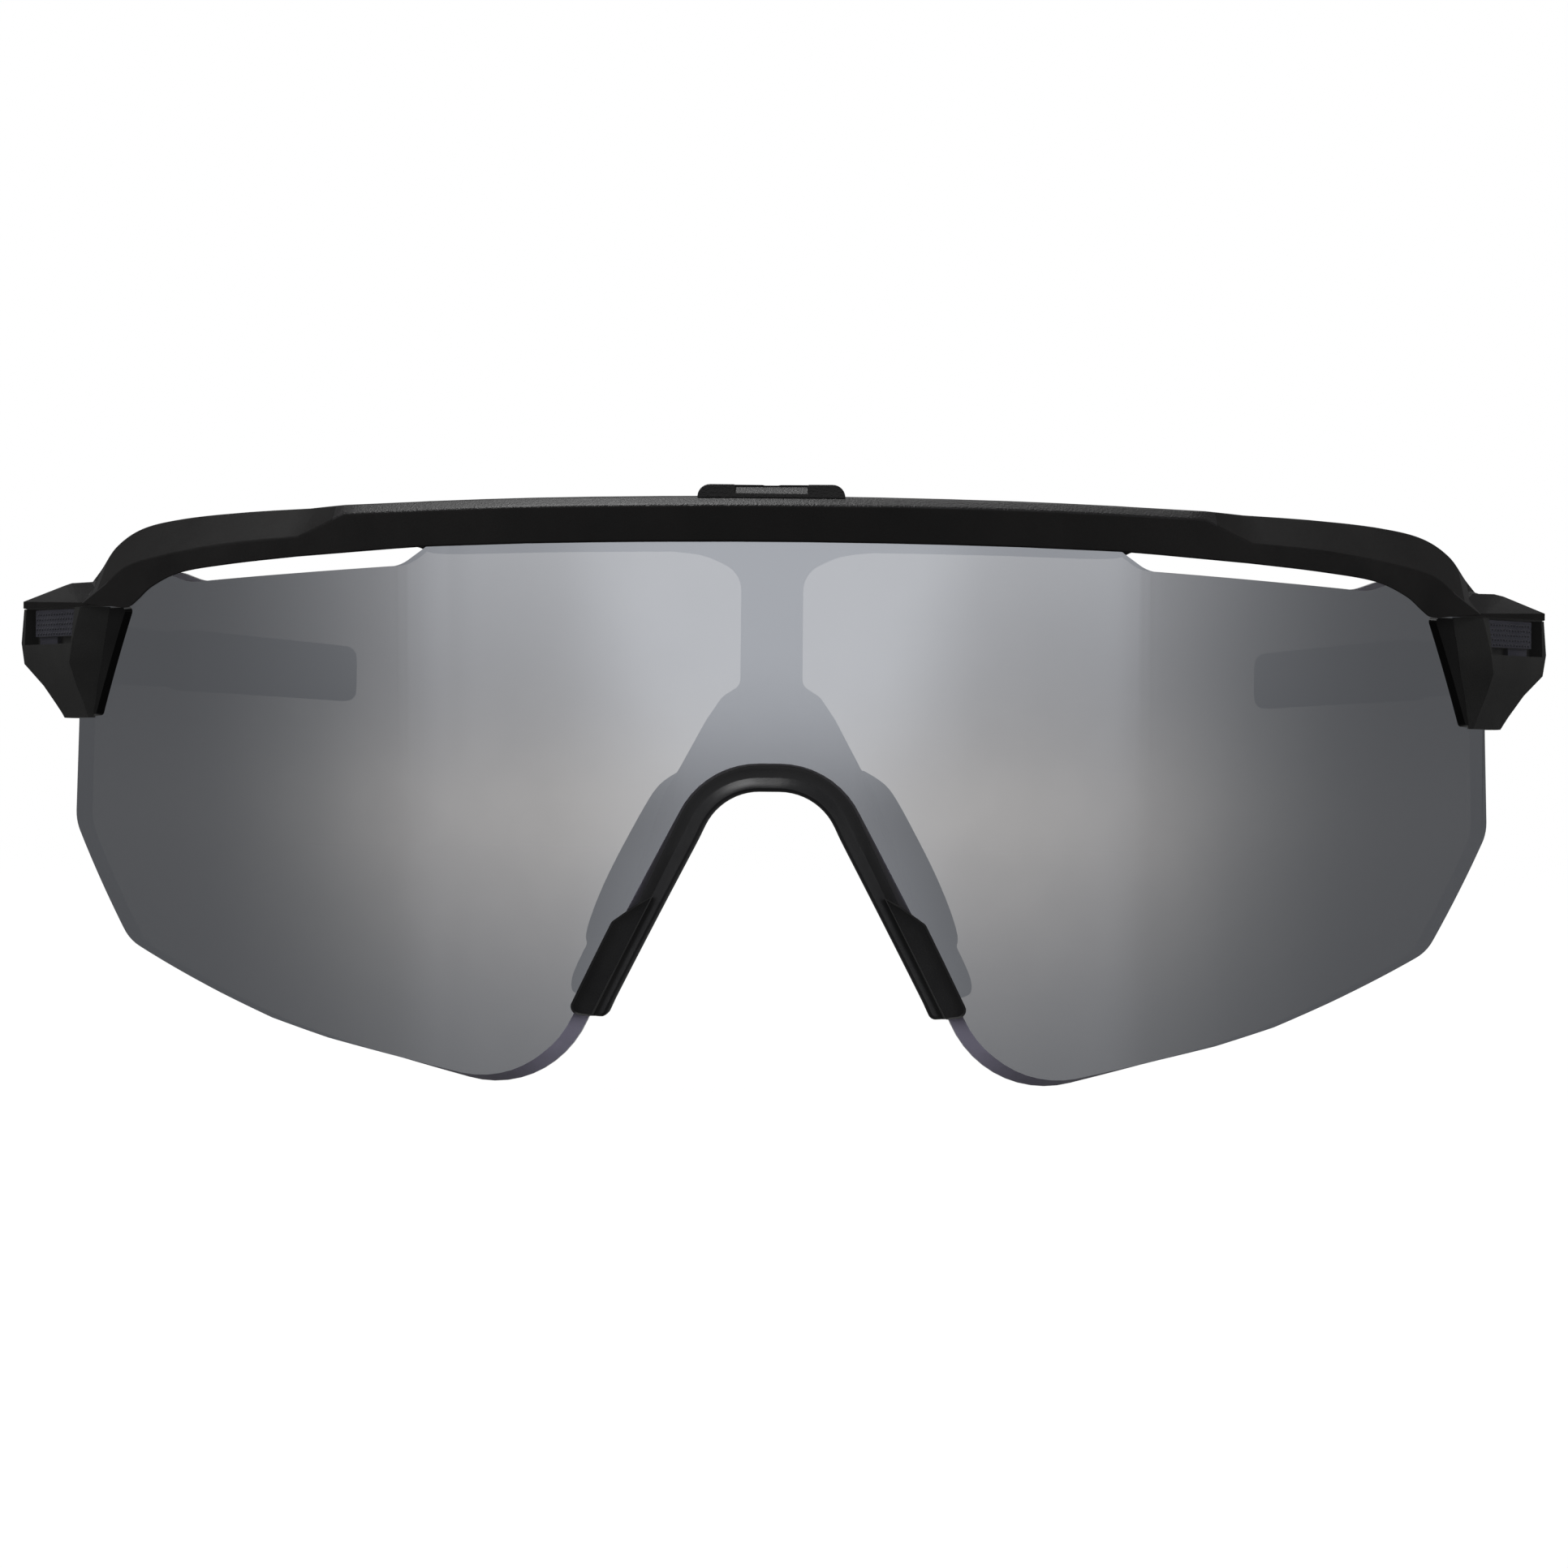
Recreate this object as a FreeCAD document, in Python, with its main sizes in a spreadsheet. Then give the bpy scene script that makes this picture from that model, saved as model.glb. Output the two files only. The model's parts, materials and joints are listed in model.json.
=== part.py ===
"""Wraparound sport sunglasses: a half-frame bar, a one-piece shield lens, a nose bridge with soft pads,
a release lever and two folding arms.

The model is laid out from the centre of the lens's front surface, worn upright: +X is the wearer's
left, +Y goes back along the arms and +Z is up. Every sub-part is then moved by one Placement that
puts the origin at the nose saddle, the top of the nose opening. The bar, lens and nose bridge all
follow one upright cylinder, whose axis is lens_radius behind the lens's front.
"""
import FreeCAD, Part
import math
import os

from FreeCAD import Placement, Rotation, Vector

doc = FreeCAD.newDocument("sport_sunglasses")

# ---------------------------------------------------------------- driving dimensions, millimetres
SIZES = {
    "lens_radius": 80.0,         # front of the lens, about the upright axis
    "lens_thick": 2.0,
    "lens_half_width": 67.0,
    "lens_top": 22.4,            # hidden in the bar's groove
    "lens_low": -26.3,
    "nose_top": 1.6,             # top of the lens's nose cut-out
    "nose_corner": 5.67,         # where that top's straight line meets the sides' lines
    "nose_slope": 25.6,          # degrees that the cut-out's sides lean out from upright
    "nose_rim": 2.3,             # width of the black arch round the cut-out
    "fit_gap": 0.1,              # between pieces of one body
    "bar_front": 3.0,            # bar stands this far in front of the lens
    "bar_depth": 7.0,
    "bar_top": 24.75,
    "bar_low": 20.8,
    "bar_chamfer": 1.0,
    "end_half_width": 72.5,
    "parting_height": 16.1,      # underside of the bar's end caps
    "facet_x": 65.4,             # upright edge between a clamp's front and outer facets
    "facet_y": 29.5,
    "facet_end_y": 38.1,         # the outer facet's other end, at end_half_width
    "window_start": 1.05,        # the vent insert, measured along and up the outer facet
    "window_long": 7.85,
    "window_low": 13.3,
    "window_tall": 2.3,
    "cap_top": 18.5,
    "clamp_low": 5.6,
    "hinge_x": 68.6,
    "hinge_y": 45.0,
    "ear_radius": 3.4,
    "hinge_gap": 0.3,
    "slot_low": 10.5,
    "slot_high": 14.5,
    "screw_radius": 0.9,
    "screw_head_radius": 1.7,
    "pivot_head_low": 14.8,
    "clamp_screw_x": 65.0,
    "clamp_screw_y": 39.4,
    "running_gap": 0.05,
    "arm_middle": 12.6,          # height of the arms' centre line
    "arm_tall": 6.4,
    "arm_end": 105.0,            # where the rubber tip starts
    "tip_end": 162.0,
    "tip_tall": 7.1,
    "tip_half_space": 54.0,      # inner faces of the two tips, from the middle
    "tip_thick": 5.0,
    "tang_end": 150.0,
    "tang_tall": 4.4,
    "tang_thick": 2.6,
    "core_radius": 0.6,
    "strut_half_width": 2.8,
    "bridge_thick": 1.6,
    "bridge_screw_x": 3.6,
    "bridge_screw_z": 20.7,
    "latch_half_width": 6.4,
    "latch_top": 25.85,
    "latch_axis_y": 6.2,
    "latch_axis_z": 23.2,
    "latch_barrel": 1.4,
    "latch_slot_half": 5.0,
    "lug_half_width": 8.4,
    "pin_radius": 0.5,
    "saddle_depth": 6.0,         # the nose saddle lies this far behind the lens's front
    "saddle_drop": 0.5,          # and this far below its centre
}
sheet = doc.addObject("Spreadsheet::Sheet", "sizes")
for row, (alias, number) in enumerate(SIZES.items(), start=1):
    sheet.set(f"A{row}", alias)
    sheet.set(f"B{row}", str(number))
    sheet.setAlias(f"B{row}", alias)
doc.recompute()

FRONT = Rotation(Vector(1, 0, 0), 90)          # sketch x, y -> X, Z; the sketch faces -Y
TALL = 90.0                                    # long enough to pass through everything in Z
DEEP = 120.0                                   # and in Y, from in front of the lens


def size(name):
    """The present value of one cell."""
    return float(sheet.get(name))


def bind(obj, **links):
    """Bind properties to the sheet; a double underline in a name stands for a dot."""
    for name, formula in links.items():
        words = [f"sizes.{word}" if word in SIZES else word for word in formula.split()]
        obj.setExpression(name.replace("__", "."), " ".join(words))
    return obj


def add(kind, name, **values):
    obj = doc.addObject(kind, name)
    for key, value in values.items():
        setattr(obj, key, value)
    return obj


# ---------------------------------------------------------------- outlines
def rounded(corners, closed=True):
    """Lines and tangent arcs through (x, y, radius) corners; the radius 0 keeps a corner sharp."""
    points = [Vector(x, y, 0) for x, y, _ in corners]
    count = len(corners)
    ends = []
    edges = []
    for index, (_, _, radius) in enumerate(corners):
        here = points[index]
        inner = closed or 0 < index < count - 1
        if radius == 0 or not inner:
            ends.append((here, here))
            continue
        back = (points[index - 1] - here).normalize()
        ahead = (points[(index + 1) % count] - here).normalize()
        half = back.getAngle(ahead) / 2
        reach = radius / math.tan(half)
        start = here + back * reach
        end = here + ahead * reach
        bisector = (back + ahead).normalize()
        middle = here + bisector * (radius / math.sin(half) - radius)
        ends.append((start, end))
        edges.append((index, Part.Arc(start, middle, end)))
    lines = range(count) if closed else range(count - 1)
    for index in lines:
        start = ends[index][1]
        end = ends[(index + 1) % count][0]
        if start.distanceToPoint(end) > 1e-6:
            edges.append((index + 0.5, Part.LineSegment(start, end)))
    return [edge for _, edge in sorted(edges, key=lambda item: item[0])]


def mirrored(corners):
    """The x > 0 half of an outline, run from the middle out, joined to its mirror image."""
    other = [(-x, y, radius) for x, y, radius in reversed(corners) if x > 1e-6]
    return corners + other


def prism(name, corners, plane, low, high):
    """A sketched outline extruded from low to high, along Y for the front plane or Z for the plan."""
    sketch = add("Sketcher::SketchObject", f"{name}_sketch")
    sketch.addGeometry(rounded(corners))
    if plane == "front":
        sketch.Placement = Placement(Vector(0, low, 0), FRONT)
        direction = Vector(0, 1, 0)
    else:
        sketch.Placement = Placement(Vector(0, 0, low), Rotation())
        direction = Vector(0, 0, 1)
    return add("Part::Extrusion", f"{name}_prism", Base=sketch, DirMode="Custom", Dir=direction,
               LengthFwd=high - low, Solid=True)


def drum(name, radius):
    """A tall cylinder about the lens's axis; radius is a formula on the sheet."""
    low_end = Placement(Vector(0, 0, -TALL / 2), Rotation())
    cylinder = add("Part::Cylinder", name, Height=TALL, Placement=low_end)
    return bind(cylinder, Radius=radius, Placement__Base__y="lens_radius")


def shell(name, outer, inner):
    """The upright tube between two radii about the lens's axis."""
    return cut(f"{name}_shell", drum(f"{name}_outer", outer), drum(f"{name}_inner", inner))


def pin(name, radius, height, centre, axis="z"):
    """A cylinder that starts at centre and runs along +Z, or +X, or +Y."""
    turn = {"z": Rotation(), "x": Rotation(Vector(0, 1, 0), 90), "y": Rotation(Vector(1, 0, 0), -90)}[axis]
    cylinder = add("Part::Cylinder", name, Height=height, Placement=Placement(Vector(*centre), turn))
    return bind(cylinder, Radius=radius)


def block(name, low, high):
    box = add("Part::Box", name, Placement=Placement(Vector(*low), Rotation()))
    box.Length, box.Width, box.Height = [top - base for base, top in zip(low, high)]
    return box


def cut(name, base, *tools):
    for number, tool in enumerate(tools, start=1):
        base = add("Part::Cut", name if number == len(tools) else f"{name}_{number}", Base=base, Tool=tool)
    return base


def fuse(name, *shapes):
    return add("Part::MultiFuse", name, Shapes=list(shapes), Refine=True)


def common(name, base, tool):
    return add("Part::Common", name, Base=base, Tool=tool)


# ---------------------------------------------------------------- sub-parts
nodes = {}


def publish(label, obj):
    """Name a finished sub-part and move it so that the nose saddle is the origin."""
    if obj.TypeId == "Part::Cylinder":
        obj = add("Part::Compound", f"{label}_placed", Links=[obj])
    obj.Label = label
    bind(obj, Placement__Base__y="- saddle_depth", Placement__Base__z="saddle_drop")
    nodes[label] = obj
    return obj


def publish_pair(label, obj):
    """The wearer's left piece, as built, and the right one, its mirror image."""
    obj = publish(f"left_{label}", obj)
    nodes[f"right_{label}"] = add("Part::Mirroring", f"{label}_mirror", Source=obj,
                                  Base=Vector(0, 0, 0), Normal=Vector(1, 0, 0), Label=f"right_{label}")


def side_x(height, offset=0.0):
    """X of the nose cut-out's straight side at a height; offset widens or narrows the opening."""
    lean = math.radians(size("nose_slope"))
    return size("nose_corner") + (size("nose_top") - height) * math.tan(lean) + offset / math.cos(lean)


def nose_arch(offset, foot, radius):
    """Corners of the nose opening from one foot over the top to the other, offset outwards."""
    top = size("nose_top") + offset
    turn = math.radians(90 - size("nose_slope")) / 2
    corner = size("nose_corner") + offset * math.tan(turn)
    return [(-side_x(foot, offset), foot, 0), (-corner, top, radius), (corner, top, radius),
            (side_x(foot, offset), foot, 0)]


def shield_lens():
    wide = size("lens_half_width")
    top = size("lens_top")
    low = size("lens_low")
    side = [(29.0, top - 0.3, 1.5), (33.2, 19.15, 3), (54.0, 18.15, 4), (57.2, 19.3, 3), (62.0, 17.2, 3),
            (wide - 0.7, 15.0, 2), (wide - 0.5, 5.0, 12), (wide, -4.2, 4), (61.0, -15.2, 4),
            (46.0, -21.9, 60), (20.0, low - 1.7, 8.4)]
    arch = nose_arch(0.0, -10.0, 7.6)
    other_side = [(-x, z, radius) for x, z, radius in reversed(side)]
    outline = other_side + side + [arch[2], arch[1]]
    sheet_form = shell("lens", "lens_radius", "lens_radius - lens_thick")
    publish("shield_lens", common("shield_lens", sheet_form, prism("lens", outline, "front", -10, DEEP)))


def end_plan():
    """Plan of the bar's end cap and of the clamp below it, round the hinge's axis."""
    wide = size("end_half_width")
    axis_x = size("hinge_x")
    axis_y = size("hinge_y")
    ear = size("ear_radius")
    return [(61.6, 25.2, 0), (size("facet_x"), size("facet_y"), 1), (wide, size("facet_end_y"), 1.5),
            (wide - 0.2, 41.5, 1),
            (axis_x + ear, axis_y, 0), (axis_x + ear, axis_y + ear, ear - 0.01),
            (axis_x - ear, axis_y + ear, ear - 0.01), (axis_x - ear, axis_y - 1.0, 0.3),
            (axis_x - 2.3, axis_y - 2.7, 0.2), (62.0, 41.2, 1), (59.0, 33.0, 0)]


def brow_frame():
    """The half-frame bar: a band round the lens's axis, cut to its front outline, with end caps."""
    top = size("bar_top")
    low = size("bar_low")
    wide = size("end_half_width")
    parting = size("parting_height")
    cap = size("cap_top")
    outline = mirrored([(0, top, 1000), (30, top - 0.3, 200), (57.4, top - 1.3, 9), (64.4, cap, 2),
                        (68.3, cap, 2), (wide, parting + 0.7, 0.4), (wide, parting, 0), (60.6, parting, 0.4),
                        (57.6, low - 3.2, 5), (49, low - 1.5, 30), (31, low - 0.4, 60), (0, low, 1000)])
    band = shell("bar", "lens_radius + bar_front", "lens_radius + bar_front - bar_depth")
    reach = block("bar_reach", (-66.4, -20, 0), (66.4, 41.0, 40))
    bar = common("bar_band", band, reach)
    caps = [prism("left_cap", end_plan(), "plan", parting, 40),
            prism("right_cap", [(-x, y, r) for x, y, r in end_plan()], "plan", parting, 40)]
    blank = common("bar_blank", fuse("bar_plan", bar, *caps), prism("bar", outline, "front", -10, DEEP))
    groove = common("groove", shell("groove", "lens_radius + fit_gap", "lens_radius - lens_thick - fit_gap"),
                    block("groove_reach", (-TALL, -20, 0), (TALL, TALL, size("lens_top") + size("fit_gap"))))
    reach_y = size("latch_axis_y")
    lug_rear = pin("lug_rear", "latch_barrel + fit_gap", 2 * size("lug_half_width"),
                   (-size("lug_half_width"), reach_y, size("latch_axis_z")), "x")
    lug_base = block("lug_base", (-size("lug_half_width"), 3.2, 21.4), (size("lug_half_width"), reach_y, 24.7))
    slot = block("latch_slot", (-size("latch_slot_half"), 4.4, 21.3), (size("latch_slot_half"), 9, 40))
    bore = pin("latch_pin_bore", "pin_radius + running_gap", 20, (-10, reach_y, size("latch_axis_z")), "x")
    body = cut("bar_with_groove", blank, groove)
    body = fuse("bar_with_lugs", body, lug_rear, lug_base)
    tools = [slot, bore]
    for x in (-1, 1):
        tools.append(pin(f"bridge_bore_{x}", "pin_radius + running_gap", 3,
                         (x * size("bridge_screw_x"), 2.7, size("bridge_screw_z")), "y"))
        tools.append(pin(f"clamp_bore_{x}", "pin_radius + running_gap + 0.3", 2.0,
                         (x * size("clamp_screw_x"), size("clamp_screw_y"), parting - 0.5)))
    body = cut("bar_bored", body, *tools)
    publish("brow_frame", chamfer_bar(body))


def chamfer_bar(body):
    """Cut the narrow slope along the bar's front top edge."""
    top = size("bar_top")
    front = size("lens_radius") + size("bar_front")
    narrow = size("bar_chamfer")
    cone = add("Part::Cone", "bar_cone", Radius1=front, Radius2=front - 8, Height=8,
               Placement=Placement(Vector(0, size("lens_radius"), top - narrow - 0.25), Rotation()))
    lower = pin("bar_cone_base", "lens_radius + bar_front + 1", 40,
                (0, size("lens_radius"), top - narrow - 40.25))
    keep = fuse("bar_keep", cone, lower)
    return common("brow_frame", body, keep)


def nose_bridge():
    """Strut, bell and legs behind the lens, the arch that fills the cut-out, and the foot on the bar."""
    gap = size("fit_gap")
    strut = size("strut_half_width")
    rim = size("nose_rim")
    back = "lens_radius - lens_thick - fit_gap"
    inner = nose_arch(-rim, -20.0, 5.2)
    bell = [(strut, 20.0, 0), (strut, 8.6, 2), (4.4, 7.9, 2), (8.2, 1.5, 1), (9.4, -1.0, 2), (16.2, -18.6, 0.8)]
    other_bell = [(-x, z, radius) for x, z, radius in reversed(bell)]
    outline = bell + [inner[3], inner[2], inner[1], inner[0]] + other_bell
    plate = common("bridge_plate", shell("plate", back, f"{back} - bridge_thick"),
                   prism("plate", outline, "front", -10, DEEP))
    outer = nose_arch(-gap, -20.0, 7.5)
    ring = [outer[0], outer[1], outer[2], outer[3], inner[3], inner[2], inner[1], inner[0]]
    arch = common("bridge_arch", shell("arch", "lens_radius + 1", f"{back} - bridge_thick"),
                  prism("arch", ring, "front", -10, DEEP))
    flanges = []
    for sign in (-1, 1):
        flange = [(sign * side_x(-10.2, -1.0), -10.2, 0), (sign * side_x(-10.6, gap), -10.6, 0.3),
                  (sign * side_x(-12.1, 1.3), -12.1, 0.8), (sign * side_x(-20.0, 1.3), -20.0, 0.8),
                  (sign * side_x(-20.0, -1.0), -20.0, 0)]
        layer = shell(f"flange_{sign}", "lens_radius + 1", "lens_radius + fit_gap")
        flanges.append(common(f"flange_{sign}", layer, prism(f"flange_{sign}", flange, "front", -10, DEEP)))
    foot = block("bridge_foot", (-4.9, 4.2, 17.4), (4.9, 5.5, 21.2))
    heel = block("bridge_heel", (-strut, 2.6, 17.4), (strut, 5.0, 19.2))
    body = fuse("bridge_body", plate, arch, *flanges, foot, heel)
    bores = [pin(f"foot_bore_{x}", "pin_radius + running_gap", 3,
                 (x * size("bridge_screw_x"), 3.5, size("bridge_screw_z")), "y") for x in (-1, 1)]
    publish("nose_bridge", cut("nose_bridge", body, *bores))


def bridge_screws():
    """Two small pan-head screws through the bridge's foot into the bar."""
    screws = []
    for x in (-1, 1):
        across = x * size("bridge_screw_x")
        shank = pin(f"bridge_shank_{x}", "pin_radius", 2.7, (across, 2.9, size("bridge_screw_z")), "y")
        head = pin(f"bridge_head_{x}", "pin_radius + 0.3", 0.6, (across, 5.5, size("bridge_screw_z")), "y")
        screws.append(fuse(f"bridge_screw_{x}", shank, head))
    publish("bridge_screws", add("Part::Compound", "bridge_screws", Links=screws))


def nose_pad():
    """Soft wing behind one leg of the bridge, flaring back and out along the nose."""
    front = [(6.4, -3.2, 0.4), (8.2, -2.2, 0.8), (15.6, -17.9, 0.8), (13.2, -18.9, 0.4)]
    rear = [(8.4, -0.9, 0.5), (10.0, 0.2, 0.8), (17.4, -18.2, 0.8), (15.6, -18.9, 0.5)]
    wires = []
    for name, corners, depth in (("pad_front", front, 3.0), ("pad_rear", rear, 14.0)):
        sketch = add("Sketcher::SketchObject", name, Placement=Placement(Vector(0, depth, 0), FRONT))
        sketch.addGeometry(rounded(corners))
        wires.append(sketch)
    wing = add("Part::Loft", "pad_loft", Sections=wires, Solid=True, Ruled=True)
    inside = drum("pad_inside", "lens_radius - lens_thick - 2 * fit_gap - bridge_thick")
    publish_pair("nose_pad", common("nose_pad", wing, inside))


def end_clamp():
    """Faceted block under the bar's end cap: it holds the lens's end and carries the hinge's ears."""
    parting = size("parting_height") - size("fit_gap")
    low = size("clamp_low")
    wide = size("end_half_width")
    front = [(61.6, parting, 0), (wide - 0.4, parting, 0.3), (wide, 12.8, 1), (wide, 11.2, 1.5), (69.8, 8.7, 1),
             (67.7, low, 0.8), (64.3, low + 0.2, 0.4)]
    blank = common("clamp_blank", prism("clamp_plan", end_plan(), "plan", low - 2, parting),
                   prism("clamp_front", front, "front", 0, DEEP))
    axis = (size("hinge_x"), size("hinge_y"))
    lens_slot = common("clamp_lens_slot",
                       shell("clamp_slot", "lens_radius + fit_gap", "lens_radius - lens_thick - fit_gap"),
                       block("clamp_slot_reach", (50, 0, -20), (size("lens_half_width") + 0.2, 60, 40)))
    gasket_room = common("gasket_room", shell("gasket_room", "lens_radius + bar_front + 2", "lens_radius"),
                         prism("gasket_room", [(60, 20, 0), (63.45, 15.6, 0), (65.05, 5.0, 0), (60, 0, 0)],
                               "front", 0, 45))
    tongue_room = fuse("tongue_room",
                       block("tongue_gap", (axis[0] - 20, axis[1] - 2.3, size("slot_low")),
                             (axis[0] + 20, 60, size("slot_high"))),
                       pin("tongue_hollow", "ear_radius", size("slot_high") - size("slot_low"),
                           (*axis, size("slot_low"))))
    screw_bore = pin("ear_bore", "screw_radius + running_gap", 40, (*axis, 0))
    head_bore = pin("ear_head_bore", "screw_head_radius + fit_gap", 10, (*axis, size("pivot_head_low")))
    nut_bore = pin("ear_nut_bore", "screw_head_radius + fit_gap", 10, (*axis, size("slot_low") - 0.5 - 10))
    screw = (size("clamp_screw_x"), size("clamp_screw_y"))
    clamp_bore = pin("clamp_screw_bore", "pin_radius + running_gap + 0.3", 40, (*screw, 0))
    clamp_head = pin("clamp_head_bore", "pin_radius + 0.8", 20, (*screw, 10.0 - 20))
    window = clamp_window(0.25, 1.2)
    publish_pair("end_clamp", cut("end_clamp", blank, lens_slot, gasket_room, tongue_room, screw_bore,
                                  head_bore, nut_bore, clamp_bore, clamp_head, window))


def facet_turn():
    """Turn about the upright that lays +X along the clamp's outer facet, +Y into the clamp."""
    run = size("end_half_width") - size("facet_x")
    return Rotation(Vector(0, 0, 1), math.degrees(math.atan2(size("facet_end_y") - size("facet_y"), run)))


def on_facet(along, inward, height):
    """Point given along the clamp's outer facet, into the clamp and up."""
    return Vector(size("facet_x"), size("facet_y"), 0) + facet_turn().multVec(Vector(along, inward, height))


def clamp_window(margin, depth):
    """Room for the vent insert, margin larger than it and open at the clamp's top."""
    long = size("window_long") + 2 * margin
    box = add("Part::Box", "clamp_window", Length=long, Width=2.0 + depth, Height=10)
    corner = on_facet(size("window_start") - margin, -2.0, size("window_low") - margin)
    box.Placement = Placement(corner, facet_turn())
    return box


def vent_mesh():
    """Insert with rows of small holes that sits in the clamp's window."""
    plate = add("Part::Box", "mesh_plate", Length=size("window_long"), Width=0.7, Height=size("window_tall"))
    plate.Placement = Placement(on_facet(size("window_start"), 0.4, size("window_low")), facet_turn())
    columns = 8
    tiers = 3
    holes = []
    for column in range(columns):
        for tier in range(tiers):
            along = size("window_start") + size("window_long") * (column + 0.5) / columns
            height = size("window_low") + size("window_tall") * (tier + 0.5) / tiers
            hole = add("Part::Cylinder", f"mesh_hole_{column}_{tier}", Radius=0.22, Height=3)
            hole.Placement = Placement(on_facet(along, 0, height),
                                       facet_turn().multiply(Rotation(Vector(1, 0, 0), -90)))
            holes.append(hole)
    group = add("Part::MultiFuse", "mesh_holes", Shapes=holes)
    publish_pair("vent_mesh", cut("vent_mesh", plate, group))


def lens_gasket():
    """Glossy strip on the lens's front, along the clamp's inner edge."""
    foot = size("clamp_low") + 0.2
    strip = [(60.6, 15.5, 0.5), (63.2, 15.5, 0.2), (64.8, foot, 0.2), (63.4, foot, 0.4)]
    layer = shell("gasket", "lens_radius + 0.8", "lens_radius + fit_gap")
    publish_pair("lens_gasket", common("lens_gasket", layer, prism("gasket", strip, "front", 0, 40)))


def hinge_hardware():
    """Pivot screw from above, and the threaded insert in the lower ear that holds it."""
    axis = (size("hinge_x"), size("hinge_y"))
    head_low = size("pivot_head_low")
    nut_low = size("clamp_low") + 3.0
    shank = pin("pivot_shank", "screw_radius", head_low - nut_low, (*axis, nut_low))
    head = pin("pivot_head", "screw_head_radius", 0.9, (*axis, head_low))
    recess = pin("pivot_recess", "screw_radius - 0.3", 2, (*axis, head_low + 0.45))
    publish_pair("hinge_screw", cut("hinge_screw", fuse("pivot_body", shank, head), recess))
    sleeve = pin("nut_body", "screw_head_radius", size("slot_low") - 0.6 - nut_low, (*axis, nut_low))
    thread = pin("nut_thread", "screw_radius + running_gap", 10, (*axis, nut_low - 1))
    publish_pair("hinge_nut", cut("hinge_nut", sleeve, thread))


def clamp_screw():
    """Screw from below, through the clamp into the bar's end cap."""
    axis = (size("clamp_screw_x"), size("clamp_screw_y"))
    shank = pin("clamp_shank", "pin_radius + 0.3", 7.3, (*axis, 10.0))
    head = pin("clamp_head", "pin_radius + 0.7", 1.0, (*axis, 9.0))
    recess = pin("clamp_recess", "pin_radius", 0.6, (*axis, 8.9))
    publish_pair("clamp_screw", cut("clamp_screw", fuse("clamp_screw_body", shank, head), recess))


def arm_line(depth, offset=0.0):
    """Point of the arm's straight rear stretch at a depth, moved outwards by offset."""
    start = Vector(67.4, size("arm_end"), 0)
    end = Vector(size("tip_half_space") + size("tip_thick") / 2, size("tip_end"), 0)
    along = (end - start).normalize()
    point = start + along * ((depth - start.y) / along.y)
    return point + Vector(along.y, -along.x, 0) * offset


def arm_bar(name, first, last, thick, tall, end_radius):
    """A straight bar along the arm's rear stretch, between two depths."""
    middle = size("arm_middle") + 0.4
    corners = [arm_line(first, thick / 2), arm_line(last, thick / 2), arm_line(last, -thick / 2),
               arm_line(first, -thick / 2)]
    radii = [0.3, end_radius, end_radius, 0.3]
    outline = [(point.x, point.y, radius) for point, radius in zip(corners, radii)]
    return prism(name, outline, "plan", middle - tall / 2, middle + tall / 2)


def temple_arm():
    """Arm with its hinge tongue in front and a flat tang that the rubber tip slides on."""
    axis = Vector(size("hinge_x"), size("hinge_y"), 0)
    low = size("arm_middle") - size("arm_tall") / 2
    high = size("arm_middle") + size("arm_tall") / 2
    rear_out = arm_line(size("arm_end"), 1.8)
    rear_in = arm_line(size("arm_end"), -1.8)
    outline = [(71.6, 47.0, 0.4), (72.2, 72.0, 120), (rear_out.x, rear_out.y, 0), (rear_in.x, rear_in.y, 0),
               (68.6, 74.0, 120), (66.2, 47.0, 0.4)]
    blade = prism("arm_blade", outline, "plan", low, high)
    hollow = pin("arm_hollow", "ear_radius + hinge_gap", 40, (axis.x, axis.y, 0))
    tongue_low = size("slot_low") + 0.15
    tongue_tall = size("slot_high") - size("slot_low") - 0.3
    knuckle = pin("arm_knuckle", "ear_radius - hinge_gap", tongue_tall, (axis.x, axis.y, tongue_low))
    neck = prism("arm_neck", [(axis.x - 2.0, axis.y, 0), (axis.x + 2.4, axis.y, 0), (axis.x + 2.6, 51, 0),
                              (axis.x - 2.0, 51, 0)], "plan", tongue_low, tongue_low + tongue_tall)
    bore = pin("arm_bore", "screw_radius + running_gap", 40, (axis.x, axis.y, 0))
    tang = arm_bar("arm_tang", size("arm_end") - 3, size("tang_end"),
                   size("tang_thick"), size("tang_tall"), 0.6)
    body = fuse("arm_body", cut("arm_front", blade, hollow), knuckle, neck, tang)
    core = core_solid("arm_core_bore", "core_radius + running_gap", 95.0, size("tang_end") - 3)
    publish_pair("temple_arm", cut("temple_arm", body, bore, core))


def core_solid(name, radius, first, last):
    """A round rod along the arm's straight rear stretch."""
    start = arm_line(first)
    end = arm_line(last)
    rod = add("Part::Cylinder", name, Height=start.distanceToPoint(end))
    middle = Vector(0, 0, size("arm_middle") + 0.4)
    rod.Placement = Placement(start + middle, Rotation(Vector(0, 0, 1), end - start))
    return bind(rod, Radius=radius)


def temple_tip():
    """Soft sleeve over the arm's tang, and the bendable core inside the arm."""
    sleeve = arm_bar("tip_sleeve", size("arm_end") + 0.2, size("tip_end"),
                     size("tip_thick"), size("tip_tall"), 2.0)
    room = arm_bar("tip_room", size("arm_end") - 5, size("tang_end") + 0.1, size("tang_thick") + 0.1,
                   size("tang_tall") + 0.1, 0.6)
    publish_pair("temple_tip", cut("temple_tip", sleeve, room))
    publish_pair("tip_core", core_solid("tip_core", "core_radius", 95.2, size("tang_end") - 3.2))


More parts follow.
